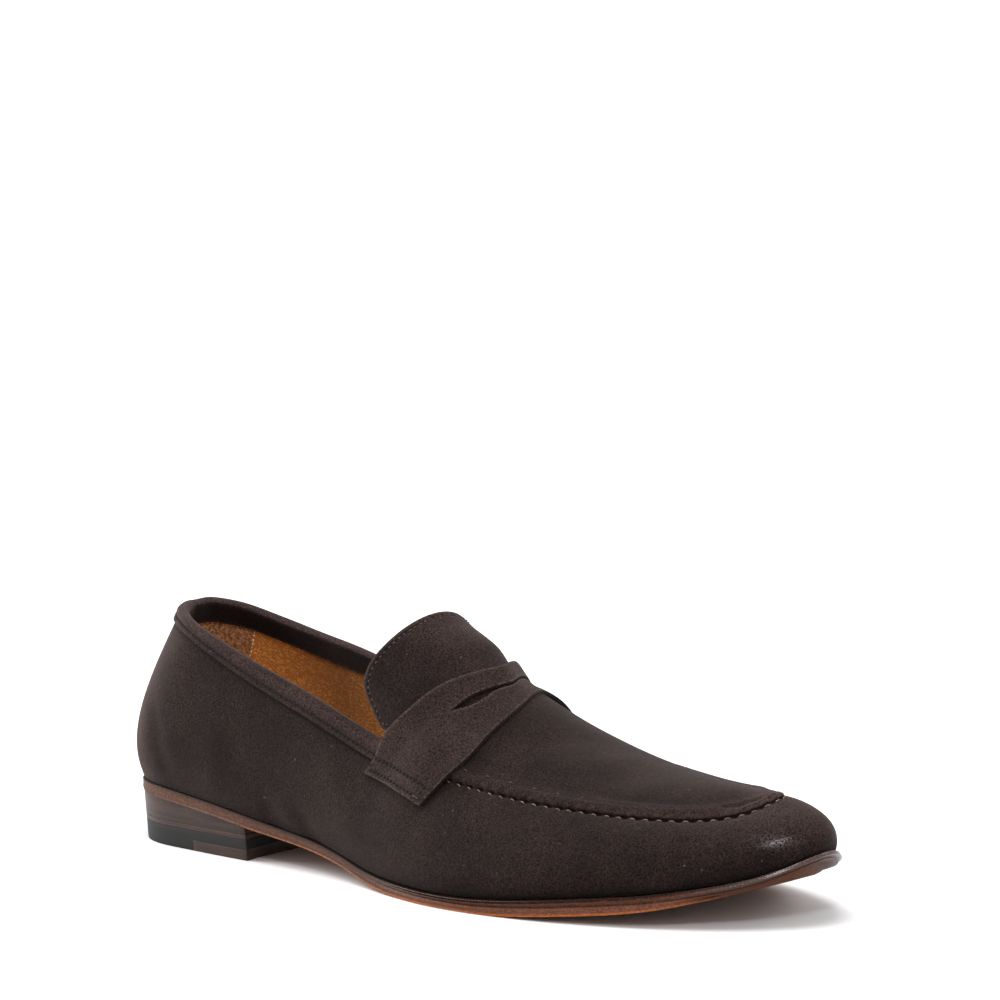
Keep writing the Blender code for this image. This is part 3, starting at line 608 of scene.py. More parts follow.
def sole_leather(tree, place, colours):
    """Oak-bark sole leather: bare orange tan underneath, stained and waxed to a shine along its edge,
    the welt above the groove darker and wheeled with fine upright marks in the forefoot."""
    share, run, front, polished = (
        add(tree, "Attribute", out="Fac", attribute_name=name)
        for name in ("edge_share", "edge_run", "forefoot", "polished")
    )
    # Fibres lie along the edge, about 6 mm long and 0.3 mm thick in a 5 mm edge
    along = add(tree, "CombineXYZ", {"X": run, "Y": share})
    stretch = add(tree, "Mapping", {"Vector": along, "Scale": (per(6.0), 14.0, 1.0)})
    fibres = add(tree, "TexNoise", {"Vector": stretch, "Scale": 1.0, "Detail": 3.0, "Roughness": 0.65})
    waver = add(tree, "MapRange", {0: fibres, 3: -0.05, 4: 0.05})
    level = add(tree, "Math", {0: share, 1: waver}, operation="ADD")
    tan, brown, welt = colours.sole_tan, colours.edge_brown, colours.welt_brown
    # The welt's top, hard under the upper, is painted very dark: painted shade in the crack under the upper
    groove, dull, painted_ledge_shade = linear("#40251a"), linear("#4b3024"), linear("#1c110d")
    full = add(tree, "ValToRGB", {0: level}, (
        (0.0, tan), (0.1, tan), (0.17, brown), (0.46, brown), (0.57, groove), (0.7, welt), (0.92, welt),
        (0.98, painted_ledge_shade),
    ))
    waist = add(tree, "ValToRGB", {0: level}, (
        (0.0, tan), (0.06, tan), (0.12, dull), (0.85, dull), (0.93, welt), (0.99, painted_ledge_shade),
    ))
    streaks = add(tree, "ValToRGB", {0: fibres}, ((0.3, 0.7), (0.7, 1.3)))
    grain = add(tree, "TexNoise", {"Vector": place, "Scale": per(0.7), "Detail": 3.0, "Roughness": 0.7})
    specks = add(tree, "ValToRGB", {0: grain}, ((0.33, 0.5), (0.67, 1.5)))
    tone = add(tree, "Mix", {0: front, 6: waist, 7: full}, **BLEND)
    tone = add(tree, "Mix", {0: polished, 6: tone, 7: linear("#26130a")}, **BLEND)
    for factor in (streaks, specks):
        tone = add(tree, "Mix", {0: 1.0, 6: tone, 7: factor}, **TIMES)
    # The edge is waxed smoother up to the welt in the forefoot, and is dull behind it
    waxed = add(tree, "ValToRGB", {0: share}, ((0.02, 0.7), (0.3, 0.55), (0.6, 0.3), (1.0, 0.2)))
    above = add(tree, "ValToRGB", {0: share}, ((0.6, 0.0), (0.72, 1.0)))
    # The wheel leaves a mark every 1.3 mm, on the welt of the forefoot alone
    wheel = add(tree, "Math", {0: run, 1: 2 * math.pi * per(1.3)}, operation="MULTIPLY")
    pressed = add(tree, "Math", {0: wheel}, operation="SINE")
    for limit in (above, front):
        pressed = add(tree, "Math", {0: pressed, 1: limit}, operation="MULTIPLY")
    relief = add(tree, "Math", {0: pressed, 1: 0.35, 2: fibres}, operation="MULTIPLY_ADD")
    return {
        "Base Color": tone, "Roughness": add(tree, "Mix", {0: front, 2: 0.6, 3: waxed}),
        "Specular IOR Level": 0.14, "Coat Roughness": 0.16,
        "Coat Weight": add(tree, "Math", {0: above, 1: polished}, operation="MULTIPLY"),
        "Normal": add(tree, "Bump", {"Height": relief, "Strength": 0.4, "Distance": 0.3 * MM}),
    }


def stacked_leather(tree, place, colours, light, dark, thickness):
    """Heel lifts of sole leather, glued, rasped and waxed: thin level lines of fibre, each lift its own tone."""
    layers = add(tree, "Mapping", {"Vector": place, "Scale": (per(28), per(28), per(thickness))})
    lines = add(tree, "TexNoise", {"Vector": layers, "Scale": 1.0, "Detail": 4.0, "Roughness": 0.62})
    cloud = add(tree, "TexNoise", {"Vector": place, "Scale": per(11), "Detail": 3.0})
    # Cut ends of the fibres, drawn 0.6 mm across so that they show
    ends = add(tree, "TexNoise", {"Vector": place, "Scale": per(0.6), "Detail": 2.0, "Roughness": 0.7})
    uneven = add(tree, "ValToRGB", {0: cloud}, ((0.35, 0.78), (0.68, 1.18)))
    specks = add(tree, "ValToRGB", {0: ends}, ((0.3, 0.6), (0.7, 1.45)))
    tone = add(tree, "ValToRGB", {0: lines}, ((0.34, dark), (0.62, light)))
    for factor in (uneven, specks):
        tone = add(tree, "Mix", {0: 1.0, 6: tone, 7: factor}, **TIMES)
    return {
        "Base Color": tone, "Specular IOR Level": 0.22,
        "Roughness": add(tree, "MapRange", {0: cloud, 3: 0.36, 4: 0.58}),
        "Normal": add(tree, "Bump", {"Height": lines, "Strength": 0.25, "Distance": 0.2 * MM}),
    }


def moulded_rubber(tree, place, colours):
    """Moulded rubber of the heel's top piece, trimmed with the heel: dark grey, dull, with a buffed grain."""
    # Buffing leaves fine level strokes, drawn 1 mm apart so that they show
    strokes = add(tree, "Mapping", {"Vector": place, "Scale": (per(9), per(9), per(1.0))})
    buffed = add(tree, "TexNoise", {"Vector": strokes, "Scale": 1.0, "Detail": 4.0, "Roughness": 0.6})
    worn = add(tree, "ValToRGB", {0: buffed}, ((0.3, 0.75), (0.7, 1.3)))
    return {
        "Base Color": add(tree, "Mix", {0: 1.0, 6: colours.rubber_grey, 7: worn}, **TIMES),
        "Roughness": add(tree, "MapRange", {0: buffed, 3: 0.5, 4: 0.72}), "Specular IOR Level": 0.2,
        "Normal": add(tree, "Bump", {"Height": buffed, "Strength": 0.3, "Distance": 0.15 * MM}),
    }


def sewing_thread(tree, place, colours, colour):
    """Twisted sewing thread: two plies that give each stitch a light and a dark side."""
    plies = add(tree, "TexNoise", {"Vector": place, "Scale": per(0.9), "Detail": 1.0})
    twist = add(tree, "ValToRGB", {0: plies}, ((0.32, 0.6), (0.66, 1.3)))
    tone = add(tree, "Mix", {0: 1.0, 6: colour, 7: twist}, **TIMES)
    return {"Base Color": tone, "Roughness": 0.75, "Specular IOR Level": 0.2}


def studio_floor(tree, place, colours):
    """Matt painted studio floor: painted shade makes it a little greyer under the shoe, and it is white further
    out.
    """
    away = add(tree, "VectorMath", {0: place}, out="Value", operation="LENGTH")
    floor_shade = add(tree, "ValToRGB", {0: away}, ((0.3, 0.64), (1.0, 1.0)))
    tone = add(tree, "Mix", {0: 1.0, 6: colours.floor_white, 7: floor_shade}, **TIMES)
    return {"Base Color": tone, "Roughness": 0.9, "Specular IOR Level": 0.1}


def finish_of(name, maker, *details):
    """A material by name, made the first time that a piece asks for it.

    Its maker adds the nodes of the look and gives what goes into the material's shader.
    """
    material = bpy.data.materials.get(name)
    if not material:
        material = bpy.data.materials.new(name)
        material.use_nodes = True
        tree = material.node_tree
        place = add(tree, "TexCoord", out="Object")
        look = maker(tree, place, bpy.context.scene.loafer_colours, *details)
        feed(tree, tree.nodes["Principled BSDF"], look)
    return material


def suede():
    return finish_of("calf_suede", calf_suede)


def lining():
    return finish_of("tan_lining_leather", lining_leather)


def grows(values, start, reach):
    """Nought up to a start, and from there on growing to one over a reach."""
    return np.clip((values - start) / reach, 0, 1)


def waves(values, pitch):
    """One in the middle of each pitch, and nought at its ends."""
    return 0.5 + 0.5 * np.cos(2 * math.pi * (values / pitch - 0.5))


def bell(distance, width):
    """A soft bump that is one at nought and fades over a width."""
    return np.exp(-(distance / width) ** 2)


def edge_wear(piece, lines, width):
    """Paints the worn, paler rim of a suede piece along its cut edges."""
    points = points_of(piece)
    away = np.full(len(points), 1.0)
    for line in lines:
        away = np.minimum(away, from_line(even_line(line), points, 6 * width)[0])
    paint(piece, "edge", np.exp(-away / width) * 0.8)


def shade_under(line, reach, amount):
    """Darkens the upper's suede in the crack under the edge of a piece that lies on it."""
    upper = bpy.data.objects["upper_suede"]
    away = from_line(even_line(line), points_of(upper), 4 * reach)[0]
    shown = painted(upper, "outside") > 0.9
    paint(upper, "shade", np.maximum(painted(upper, "shade"), np.where(shown, amount * bell(away, reach), 0.0)))


SEAMS = {}


class LOAFER_OT_upper(bpy.types.Operator):
    """Makes the suede upper with its lining, the apron's rolled seam, the back seam and the soft creases"""

    bl_idname = "loafer.upper"
    bl_label = "Upper"

    def execute(self, context):
        sizes = context.scene.loafer_sizes
        piece = copy_of("upper", "upper_suede", suede(), lining())
        shape = shape_of(piece, "seam", "outside")
        outside, inside = patches_of(shape)[:2]
        for face in inside:
            face.material_index = 1
        hollow = [
            edge for edge in shape.edges
            if all(face in outside for face in edge.link_faces)
            and edge.calc_face_angle_signed() < -math.radians(18)
        ]
        seam, roll = lines_along(hollow)[:2]
        crease(shape, cut_edges(shape), 0.6)
        crease(shape, [edge for edge in hollow if all(v in seam for v in edge.verts)], 1.0)
        for vertex in seam:
            vertex[shape.verts.layers.float["seam"]] = 1.0
        mark_points(shape, outside, "outside")
        foot = [even_line(line) for line in border_of(shape, outside) if line[:, 2].mean() < 25 * MM]
        rough_line = even_line([v.co for v in seam])
        roll_line = even_line([v.co for v in roll])
        keep_shape(shape, piece, 2)
        on_seam = points_of(piece)[painted(piece, "seam") > 0.999]
        order = np.argsort(from_line(rough_line, on_seam, 5 * MM)[1])
        line = even_line(on_seam[order])
        centres = rows_of(piece.data.polygons, "center")
        near = from_line(line, centres, 6.5 * MM)[0] < 6.2 * MM
        behind = (centres[:, 0] < BACK_SEAM_X) & (abs(centres[:, 1] - BACK_SEAM_Y) < 5 * MM)
        material = np.empty(len(centres), int)
        piece.data.polygons.foreach_get("material_index", material)
        cut_finer(piece, (near | behind) & (material == 0), 2)

        points = points_of(piece)
        shown = painted(piece, "outside") > 0.99
        away, nearest = from_line(line, points, 9 * MM)
        along = np.gradient(line, axis=0)
        along /= np.linalg.norm(along, axis=1, keepdims=True)
        middle = np.column_stack([line[:, 0] - 30 * MM, np.full(len(line), BACK_SEAM_Y), line[:, 2] + 20 * MM])
        inward = middle - line
        inward -= along * np.sum(inward * along, axis=1, keepdims=True)
        side = np.sum((points - line[nearest]) * inward[nearest], axis=1)
        across = np.where(side < 0, -away, away) / MM
        stitch = waves(nearest * STEP, sizes.apron_pitch)
        fades = np.clip((9 - abs(across)) / 3, 0, 1)
        pinch = sizes.apron_pinch / MM
        # The roll is firm by the strap and flatter round the toe
        lengthwise = points[:, 0] / MM
        soft = np.clip(0.6 + (lengthwise - 60) / 60, 0.6, 1.2)
        rise = -(0.2 + pinch * stitch) * bell(across, 0.5)
        rise += pinch * (0.4 - stitch) * bell(across - 1.3, 1.0) - soft * 0.5 * bell(across - 2.4, 1.5)
        rise += soft * 0.4 * bell(across - 5.0, 1.8)
        rise -= 0.5 * pinch * stitch * bell(across + 0.9, 1.1)
        rise *= fades

        back = np.where(points[:, 0] < BACK_SEAM_X, (points[:, 1] - BACK_SEAM_Y) / MM, 99.0)
        bite = 0.5 + 0.5 * np.cos(points[:, 2] / MM * 2 * math.pi / 3.2)
        rise += 0.3 * bell(abs(back) - 1.7, 1.3) - (0.35 + 0.15 * bite) * bell(back, 0.7)

        for knots, width, depth in CREASES:
            fold = even_line(np.array(knots) * MM, 1.0 * MM)
            gap, spot = from_line(fold, points, 3 * width * MM)
            taper = np.sin(np.pi * np.clip((spot + 1) / (len(fold) + 1), 0, 1)) ** 0.5
            rise -= depth * taper * np.where(gap < 3 * width * MM, bell(gap / MM, width), 0.0)
        move_out(piece, np.where(shown, rise, 0.0) * MM)

        rubbed = np.zeros(len(points))
        for spot, strength in BURNISHED:
            rubbed += strength * bell(np.linalg.norm((points / MM - spot) / BURNISH_SHAPE, axis=1), 5.0)
        paint(piece, "burnish", np.where(shown, np.clip(rubbed, 0, 1), 0.0))
        # Painted light: the suede is lighter at the back of the heel, on the upward faces of the toe, along the
        # apron's roll and on the burnished patch
        lit_toe_top = np.clip(normals_of(piece)[:, 2], 0, 1) * grows(lengthwise, 112, 18)
        lifted = 0.7 * lit_toe_top + 0.8 * grows(-lengthwise, 119, 14)
        lifted += soft * 0.5 * bell(across - 2.2, 1.8) * fades + 0.3 * rubbed
        paint(piece, "lifted", np.where(shown, lifted, 0.0))
        # Painted shade: dark lines in the apron's seam, up into the roll between the stitches, along the back
        # seam and along the foot
        dark = 0.8 * bell(across - 0.1 - 0.45 * (1 - stitch), 0.32) * fades + 0.6 * bell(back, 0.8)
        dark += 0.85 * bell(from_line(np.vstack(foot), points, 4 * MM)[0] / MM, 1.0)
        paint(piece, "shade", np.where(shown, np.clip(dark, 0, 1), 0.0))
        dress(piece, "suede", "upper")
        SEAMS["apron"], SEAMS["apron_inner"] = line, roll_line[roll_line[:, 0] < 75 * MM]
        SEAMS["apron_middle"] = middle
        return {"FINISHED"}


class LOAFER_OT_heel_grip(bpy.types.Operator):
    """Lines the inside of the heel with a patch of rough split suede"""

    bl_idname = "loafer.heel_grip"
    bl_label = "Heel grip"

    def execute(self, context):
        grip = copy_of("upper", "heel_grip", finish_of("heel_grip_split_suede", split_suede))
        shape = shape_of(grip)
        inside = patches_of(shape)[1]
        away = [face for face in shape.faces if face not in inside or face.calc_center_median().x > -90 * MM]
        bmesh.ops.delete(shape, geom=away, context="FACES")
        keep_shape(shape, grip, 2)
        take(grip)
        bpy.ops.object.mode_set(mode="EDIT")
        bpy.ops.mesh.select_all(action="SELECT")
        # The grip's front edge is one straight cut, slanting down to the toe
        spot, facing = Vector((-120.9, 0.0, 69.6)) * MM, Vector((0.894, 0.0, -0.447))
        bpy.ops.mesh.bisect(plane_co=spot, plane_no=facing, clear_outer=True, clear_inner=False)
        bpy.ops.object.mode_set(mode="OBJECT")
        shape = shape_of(grip)
        front = np.array([v.co for v in shape.verts if abs((v.co - spot).dot(facing)) < 0.02 * MM])
        sides = (front[front[:, 1] > 0], front[front[:, 1] < 0])
        SEAMS["grip"] = [side[np.argsort(side[:, 2])] for side in sides]
        shape.free()
        move_out(grip, np.full(len(grip.data.vertices), 0.3 * MM))
        take(grip)
        wall = grip.modifiers.new("wall", "SOLIDIFY")
        wall.thickness, wall.offset = 0.2 * MM, -1.0
        bpy.ops.object.modifier_apply(modifier=wall.name)
        dress(grip, "lining_leather")
        return {"FINISHED"}


class LOAFER_OT_binding(bpy.types.Operator):
    """Makes the folded suede binding of the collar with its sewn groove"""

    bl_idname = "loafer.binding"
    bl_label = "Collar binding"

    def execute(self, context):
        sizes = context.scene.loafer_sizes
        piece = copy_of("collar_binding", "collar_binding_suede", suede())
        shape = shape_of(piece)
        ends = cut_edges(shape, math.radians(75))
        crease(shape, ends, 0.5)
        # The longest line is the lower edge outside, and the lowest that of the leg inside
        lines = [np.array([v.co for v in line]) for line in lines_along(ends)]
        keep_shape(shape, piece, 3)
        points = points_of(piece)
        line = even_line(lines[0])
        away, nearest = from_line(line, points, 8 * MM)
        normal = normals_of(piece)
        middle = np.column_stack([np.clip(points[:, 0], -100 * MM, 0.02), np.full(len(points), BACK_SEAM_Y)])
        outer = np.sum((points[:, :2] - middle) * normal[:, :2], axis=1) > 0
        bite = waves(nearest * STEP, sizes.binding_pitch)
        gap = (away - sizes.binding_margin) / MM
        rise = -(0.3 + 0.2 * bite) * bell(gap, 0.5) + 0.2 * bell(gap - 2.4, 1.5)
        move_out(piece, np.where(outer, rise, 0.0) * MM)
        edge_wear(piece, lines[2:4], 0.3 * MM)
        # Painted light: the inner leg's upward faces and the outer leg's roll above the groove are lightened
        folded = np.where(normal[:, 2] > 0.3, 0.8, 0.0)
        paint(piece, "lifted", np.where(outer, 0.3 + 0.4 * bell(gap - 2.6, 1.5), folded))
        # Painted shade: the inner leg below its pale edge, the outer leg's underside and the groove between the
        # stitches are darkened
        inner = 0.55 * (~outer & (normal[:, 2] < 0.5)) * (painted(piece, "edge") < 0.2)
        under = 0.8 * (outer & (normal[:, 2] < -0.4))
        sewn = 0.95 * bell(gap, 0.42) * (0.5 + 0.5 * bite)
        paint(piece, "shade", np.where(outer, np.maximum(sewn, under), inner))
        dress(piece, "suede", "collar_binding")
        shade_under(lines[1], 1.2 * MM, 1.0)
        SEAMS["binding"] = line
        return {"FINISHED"}


class LOAFER_OT_tongue(bpy.types.Operator):
    """Makes the suede tongue with its tan underside"""

    bl_idname = "loafer.tongue"
    bl_label = "Tongue"

    def execute(self, context):
        sizes = context.scene.loafer_sizes
        piece = copy_of("tongue", "tongue_suede", suede(), lining())
        shape = shape_of(piece, "outside")
        over, under = patches_of(shape)[:2]
        for face in under:
            face.material_index = 1
        lines = border_of(shape, over)
        crease(shape, cut_edges(shape), 0.6)
        mark_points(shape, over, "outside")
        keep_shape(shape, piece, 3)
        rim = even_line(lines[0])
        points = points_of(piece)
        away = from_line(rim, points, 8 * MM)[0]
        gap = (away - sizes.tongue_margin) / MM
        rise = -0.25 * bell(gap, 0.6) - 0.3 * bell(away / MM, 0.8)
        move_out(piece, np.where(painted(piece, "outside") > 0.9, rise, 0.0) * MM)
        # The tongue's front edge is tucked under the vamp, out of sight below the strap
        tucked = 1.0 - grows(from_line(even_line(lines[1]), points, 12 * MM)[0], 0.0, 12 * MM)
        down_slope = np.array((0.81, 0.0, -0.58))
        place_at(piece, points_of(piece) + 2.5 * MM * tucked[:, None] * down_slope)
        edge_wear(piece, lines[:1], 0.3 * MM)
        # Painted light on the tongue's upward faces
        paint(piece, "lifted", np.clip(1.6 * normals_of(piece)[:, 2] - 0.9, 0, 0.5))
        dress(piece, "suede", "tongue")
        SEAMS["tongue"] = rim
        return {"FINISHED"}


class LOAFER_OT_strap(bpy.types.Operator):
    """Makes the suede saddle strap with its slit and the pressed boxes at its ends"""

    bl_idname = "loafer.strap"
    bl_label = "Saddle strap"

    def execute(self, context):
        sizes = context.scene.loafer_sizes
        piece = copy_of("saddle_strap", "saddle_strap_suede", suede())
        shape = shape_of(piece, "outside")
        over = patches_of(shape)[0]
        mark_points(shape, over, "outside")
        lines = border_of(shape, over)
        front = max(lines, key=lambda line: line[:, 0].mean())
        ends = [line for line in lines if abs(line[:, 1].mean()) > 25 * MM]
        edges = np.vstack([even_line(line) for line in (front, *ends)])
        away, nearest = from_line(edges, np.array([v.co for v in shape.verts]), 14 * MM)
        # Along its front edge and at its ends the strap is drawn down till its top is 1.75 mm off the upper
        skin = skin_of("upper_suede", "tongue_suede")
        drop = np.array([skin.find_nearest(spot)[3] / MM - 1.75 for spot in edges]).clip(0, 1.6)
        drop = np.convolve(np.pad(drop, 30, mode="edge"), np.full(61, 1 / 61), mode="valid")
        for vertex, gap, number in zip(shape.verts, away / MM, nearest):
            spot = skin.find_nearest(vertex.co)[0]
            vertex.co += (spot - vertex.co).normalized() * drop[number] * grows(-gap, -14, 9) * MM
        shape.normal_update()
        lines = border_of(shape, over)
        ends = [line for line in lines if abs(line[:, 1].mean()) > 25 * MM]
        crease(shape, cut_edges(shape), 0.65)
        keep_shape(shape, piece, 3)
        points = points_of(piece)
        rise, stitch_line_shade = np.zeros(len(points)), np.zeros(len(points))
        for line in lines:
            away = from_line(even_line(line), points, 8 * MM)[0] / MM
            rise -= 0.2 * bell(away, 0.5)
        for line in ends:
            away = from_line(even_line(line), points, 14 * MM)[0]
            for margin in (sizes.strap_margin, sizes.strap_margin + sizes.strap_box):
                gap = (away - margin) / MM
                rise -= 0.25 * bell(gap, 0.6)
                stitch_line_shade += 0.55 * bell(gap, 0.35)
        shown = painted(piece, "outside") > 0.9
        move_out(piece, np.where(shown, rise, 0.0) * MM)
        edge_wear(piece, lines, 0.3 * MM)
        # Painted light lightens the whole strap evenly; painted shade darkens the pressed stitch lines and the
        # strap's cut sides
        paint(piece, "lifted", np.full(len(points), 0.4))
        paint(piece, "shade", np.where(shown, np.clip(stitch_line_shade, 0, 0.8), 0.6))
        dress(piece, "suede", "saddle_strap")
        for line in lines:
            shade_under(line, 1.5 * MM, 0.85)
        SEAMS["strap_ends"] = ends
        return {"FINISHED"}


class LOAFER_OT_sole(bpy.types.Operator):
    """Makes the leather sole with its grooved, wheeled and waxed edge"""

    bl_idname = "loafer.sole"
    bl_label = "Sole"

    def execute(self, context):
        piece = copy_of("outsole", "sole_leather_edge", finish_of("oak_bark_sole_leather", sole_leather))
        shape = shape_of(piece, "edge_share")
        crease(shape, cut_edges(shape, math.radians(28)), 0.55)
        share = shape.verts.layers.float["edge_share"]
        # The tread's faces are broad, level, or the narrow ones that close it at the toe's tip
        tread = [
            f for f in shape.faces if f.normal.z < -0.97 or f.normal.z < -0.5 and (
                f.calc_area() > 20 * MM * MM or abs(f.calc_center_median().y - BACK_SEAM_Y) < 0.5 * MM
            )
        ]
        ring = {v for f in tread for v in f.verts}
        rings = [ring]
        while ring:
            ring = {e.other_vert(v) for v in ring for e in v.link_edges} - set().union(*rings[-2:])
            rings.append(ring)
        outline = [e for e in shape.edges if all(v in rings[2] for v in e.verts)]
        outline = np.array([v.co for v in lines_along(outline, corner=math.pi)[0]])
        # The bare line along the bottom thins out to the toe, and the seat over the heel has none
        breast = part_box("heel_lift_wedge")[1].x
        for height, ring in zip(EDGE_HEIGHTS, rings):
            for vertex in ring:
                least = 0.14 * grows(vertex.co.x / MM, 105, 35) if vertex.co.x > breast else 0.25
                vertex[share] = max(height, least)
        # The groove between welt and sole runs round the forefoot alone; behind that the edge is plain
        for vertex in rings[3]:
            above = [e.other_vert(vertex).co for e in vertex.link_edges if e.other_vert(vertex) not in rings[3]]
            plain = 1.0 - 0.5 * grows(vertex.co.x / MM, *FOREFOOT)
            vertex.co = vertex.co.lerp(sum(above, Vector()) / len(above), plain)
        # The tread is worn a little thinner under the toe, and is set back under the welt there
        ball = Vector((100 * MM, BACK_SEAM_Y, 0))
        for ring in rings[:2]:
            for vertex in ring:
                vertex.co.z += 0.8 * MM * grows(vertex.co.x / MM, 100, 25)
                inward = (ball - vertex.co) * 0.075 * grows(vertex.co.x / MM, 112, 22)
                vertex.co += Vector((inward.x, inward.y, 0))
        keep_shape(shape, piece, 3)
        points = points_of(piece)
        # The welt is rounded, and the edge under it a little
        height, front = painted(piece, "edge_share"), grows(points[:, 0] / MM, *FOREFOOT)
        move_out(piece, (0.65 * front * bell(height - 0.79, 0.1) + 0.15 * bell(height - 0.36, 0.12)) * MM)
        line = even_line(np.vstack([outline, outline[:1]]))
        paint(piece, "edge_run", from_line(line, points, 60 * MM)[1] * STEP)
        paint(piece, "forefoot", front)
        paint(piece, "polished", 0.55 * grows(points[:, 0] / MM, 116, 12))
        dress(piece, "sole_leather", "outsole")
        return {"FINISHED"}


class LOAFER_OT_heel(bpy.types.Operator):
    """Makes the stacked heel: leather lifts, the thin lift under them, the rubber and its leather corner"""

    bl_idname = "loafer.heel"
    bl_label = "Heel"

    def execute(self, context):
        sizes, colours = context.scene.loafer_sizes, context.scene.loafer_colours
        lift = finish_of("stacked_heel_leather", stacked_leather, colours.lift_brown, colours.lift_dark, 1.3)
        base = finish_of("base_lift_leather", stacked_leather, linear("#3b271e"), linear("#2c1c15"), 1.0)
        corner = finish_of("heel_corner_leather", stacked_leather, linear("#35241d"), linear("#261a14"), 1.1)
        rubber = finish_of("moulded_heel_rubber", moulded_rubber)
        # The lifts are glued, so each piece is drawn up to the one above it
        for node, slot, material in (
            ("heel_lift_wedge", "stacked_leather", lift), ("heel_lift_base", "stacked_leather", base),
            ("heel_insert", "stacked_leather", corner), ("heel_rubber", "heel_rubber", rubber),
        ):
            piece = copy_of(node, node + "_finished", material)
            shape = shape_of(piece)
            for vertex in {v for f in shape.faces if f.normal.z > 0.7 for v in f.verts}:
                vertex.co.z += GLUE_GAP
            crease(shape, cut_edges(shape), 1.0)
            keep_shape(shape, piece, 2)
            take(piece)
            rounding = piece.modifiers.new("rounding", "BEVEL")
            rounding.width, rounding.segments = sizes.heel_round, 2
            rounding.limit_method, rounding.angle_limit = "ANGLE", math.radians(50)
            bpy.ops.object.modifier_apply(modifier=rounding.name)
            dress(piece, slot, node)
            bpy.ops.object.shade_smooth_by_angle(angle=math.radians(40))
        return {"FINISHED"}


class LOAFER_OT_insole(bpy.types.Operator):
    """Makes the tan sock of leather that covers the insole"""

    bl_idname = "loafer.insole"
    bl_label = "Insole"

    def execute(self, context):
        piece = copy_of("insole", "insole_sock", lining())
        shape = shape_of(piece)
        crease(shape, cut_edges(shape), 1.0)
        keep_shape(shape, piece, 2, set_out=0.0)
        dress(piece, "lining_leather", "insole")
        return {"FINISHED"}


class LOAFER_OT_stitches(bpy.types.Operator):
    """Sews every seam that shows: apron, binding, tongue, strap and heel grip"""

    bl_idname = "loafer.stitches"
    bl_label = "Stitches"

    def execute(self, context):
        sizes, colours = context.scene.loafer_sizes, context.scene.loafer_colours
        tan = finish_of("waxed_tan_thread", sewing_thread, colours.apron_tan)
        dark = finish_of("dark_thread", sewing_thread, colours.dark_thread)
        grey = finish_of("pale_brown_thread", sewing_thread, colours.grey_thread)
        white = finish_of("white_thread", sewing_thread, colours.white_thread)
        upper = skin_of("upper_suede")
        line, middle = SEAMS["apron"], SEAMS["apron_middle"]
        low = beside(line, upper, 0.3 * MM, 2 * line - middle)
        sew("apron_stitches", "suede", tan, low, upper, sizes.apron_pitch, sizes.apron_stitch,
            sizes.apron_thread, lean=math.radians(-14), lift=0.35)
        sew("apron_inner_stitches", "suede", grey, SEAMS["apron_inner"], upper, sizes.apron_pitch * 2,
            sizes.apron_stitch * 0.8, sizes.apron_thread * 0.8, lift=-0.1)

        skin = skin_of("collar_binding_suede")
        line = SEAMS["binding"]
        groove = beside(line, skin, sizes.binding_margin, line + [0, 0, 0.05])
        sew("binding_stitches", "suede", dark, groove, skin, sizes.binding_pitch, sizes.binding_pitch * 0.6,
            sizes.fine_thread, lift=-0.1)

        skin = skin_of("tongue_suede")
        line = SEAMS["tongue"][8:-8]
        inward = line * [1, 0, 1] + [0.02, -0.001, 0.01]
        sew("tongue_stitches", "suede", grey, beside(line, skin, sizes.tongue_margin, inward), skin,
            sizes.tongue_pitch, sizes.tongue_pitch * 0.45, sizes.fine_thread, lift=0.2)

        skin = skin_of("saddle_strap_suede")
        for number, line in enumerate(SEAMS["strap_ends"]):
            line = even_line(line)
            trim = round(sizes.strap_margin / STEP)
            inner = line[trim:-trim] * [1, 0, 0] + [0, 0, 0.08]
            low = beside(line[trim:-trim], skin, sizes.strap_margin, inner)
            high = beside(low, skin, sizes.strap_box, inner)
            box = np.vstack([low, even_line([low[-1], high[-1]])[1:-1], high[::-1],
                             even_line([high[0], low[0]])[1:-1]])
            sew(f"strap_box_{number + 1}", "suede", dark, box, skin, sizes.strap_pitch, sizes.strap_pitch * 0.6,
                sizes.fine_thread * 1.4, lift=0.0)
            knot = low[:6] if low[0, 0] > low[-1, 0] else low[-6:]
            sew(f"strap_knot_{number + 1}", "suede", grey, knot, skin, 0.9 * MM, 1.2 * MM, sizes.fine_thread,
                lift=0.5)

        for number, line in enumerate(SEAMS["grip"]):
            line = on_skin(even_line(line) + [0.8 * MM, 0, 0], upper)[0]
            sew(f"heel_grip_seam_{number + 1}", "lining_leather", white, line, upper, sizes.grip_pitch,
                sizes.grip_pitch * 0.5, sizes.fine_thread, lift=0.5)
        return {"FINISHED"}


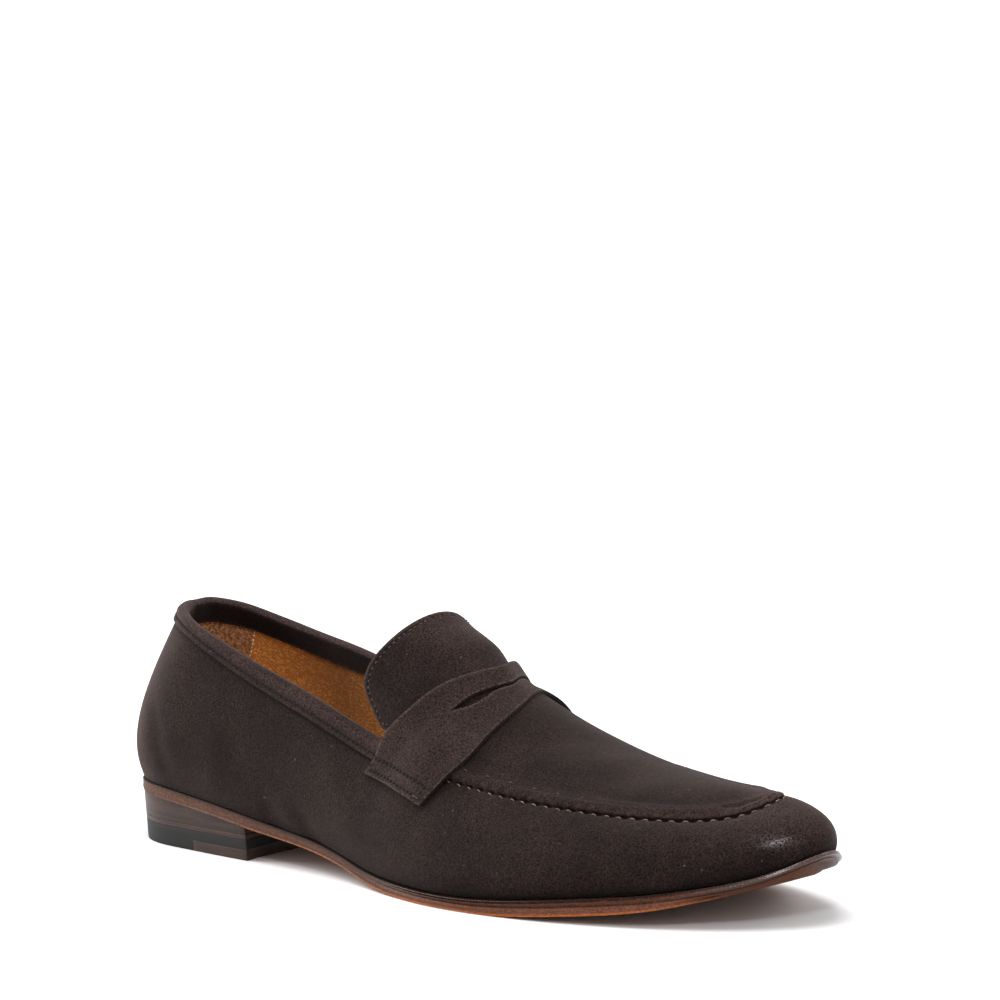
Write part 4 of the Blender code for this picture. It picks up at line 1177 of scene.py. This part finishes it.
class LOAFER_OT_stage(bpy.types.Operator):
    """Sets the pale floor, the soft lights and the camera"""

    bl_idname = "loafer.stage"
    bl_label = "Stage"

    def execute(self, context):
        take_none()
        bpy.ops.mesh.primitive_circle_add(vertices=64, radius=6.0, fill_type="NGON")
        floor = context.object
        floor.name = "studio_floor"
        bpy.ops.object.mode_set(mode="EDIT")
        bpy.ops.mesh.inset(thickness=3.0)
        bpy.ops.object.mode_set(mode="OBJECT")
        floor.data.materials.append(finish_of("matt_studio_floor", studio_floor))

        world = bpy.data.worlds.new("white_studio")
        world.use_nodes = True
        world.node_tree.nodes["Background"].inputs["Color"].default_value = (1.0, 1.0, 1.0, 1.0)
        world.node_tree.nodes["Background"].inputs["Strength"].default_value = 1.04
        context.scene.world = world

        for name, place, size, power in (
            ("key_softbox", (0.95, -0.95, 1.05), 0.22, 7.0),
            ("top_softbox", (0.1, -0.15, 1.35), 0.7, 15.0),
            ("side_softbox", (-1.0, -0.35, 0.55), 0.6, 13.0),
            ("back_softbox", (0.9, 0.8, 0.9), 0.6, 4.0),
        ):
            light = bpy.data.objects.new(name, bpy.data.lights.new(name, "AREA"))
            light.data.size, light.data.energy = size, power
            context.scene.collection.objects.link(light)
            light.location = place
            aim = Vector((0.0, 0.0, 0.03)) - Vector(place)
            light.rotation_euler = aim.to_track_quat("-Z", "Y").to_euler()

        camera = bpy.data.objects.new("camera", bpy.data.cameras.new("camera"))
        context.scene.collection.objects.link(camera)
        turn = (AIM - EYE).to_track_quat("-Z", "Y").to_matrix() @ Matrix.Rotation(ROLL, 3, "Z")
        camera.location, camera.rotation_euler = EYE, turn.to_euler()
        camera.data.lens, camera.data.sensor_width = LENS, 36.0
        camera.data.clip_start, camera.data.clip_end = 0.05, 50.0
        context.scene.camera = camera
        context.scene.view_settings.view_transform = "Standard"
        return {"FINISHED"}


class LOAFER_PT_sidebar(bpy.types.Panel):
    """Lists the loafer's pieces in the order that they are made"""

    bl_idname = "LOAFER_PT_sidebar"
    bl_label = "Loafer"
    bl_space_type = "VIEW_3D"
    bl_region_type = "UI"
    bl_category = "Loafer"

    def draw(self, context):
        for piece in PIECES:
            self.layout.operator(piece.bl_idname)
        for settings in (context.scene.loafer_sizes, context.scene.loafer_colours):
            column = self.layout.column()
            for name in settings.__annotations__:
                column.prop(settings, name)


PIECES = (
    LOAFER_OT_upper, LOAFER_OT_heel_grip, LOAFER_OT_binding, LOAFER_OT_tongue, LOAFER_OT_strap, LOAFER_OT_sole,
    LOAFER_OT_heel, LOAFER_OT_insole, LOAFER_OT_stitches, LOAFER_OT_stage,
)
CLASSES = (LoaferSizes, LoaferColours, *PIECES, LOAFER_PT_sidebar)


def register():
    for item in CLASSES:
        bpy.utils.register_class(item)
    bpy.types.Scene.loafer_sizes = bpy.props.PointerProperty(type=LoaferSizes)
    bpy.types.Scene.loafer_colours = bpy.props.PointerProperty(type=LoaferColours)


def unregister():
    del bpy.types.Scene.loafer_colours
    del bpy.types.Scene.loafer_sizes
    for item in reversed(CLASSES):
        bpy.utils.unregister_class(item)


def main():
    register()
    for piece in PIECES:
        name = piece.bl_idname.split(".")[1]
        getattr(bpy.ops.loafer, name)()


if __name__ == "__main__":
    main()
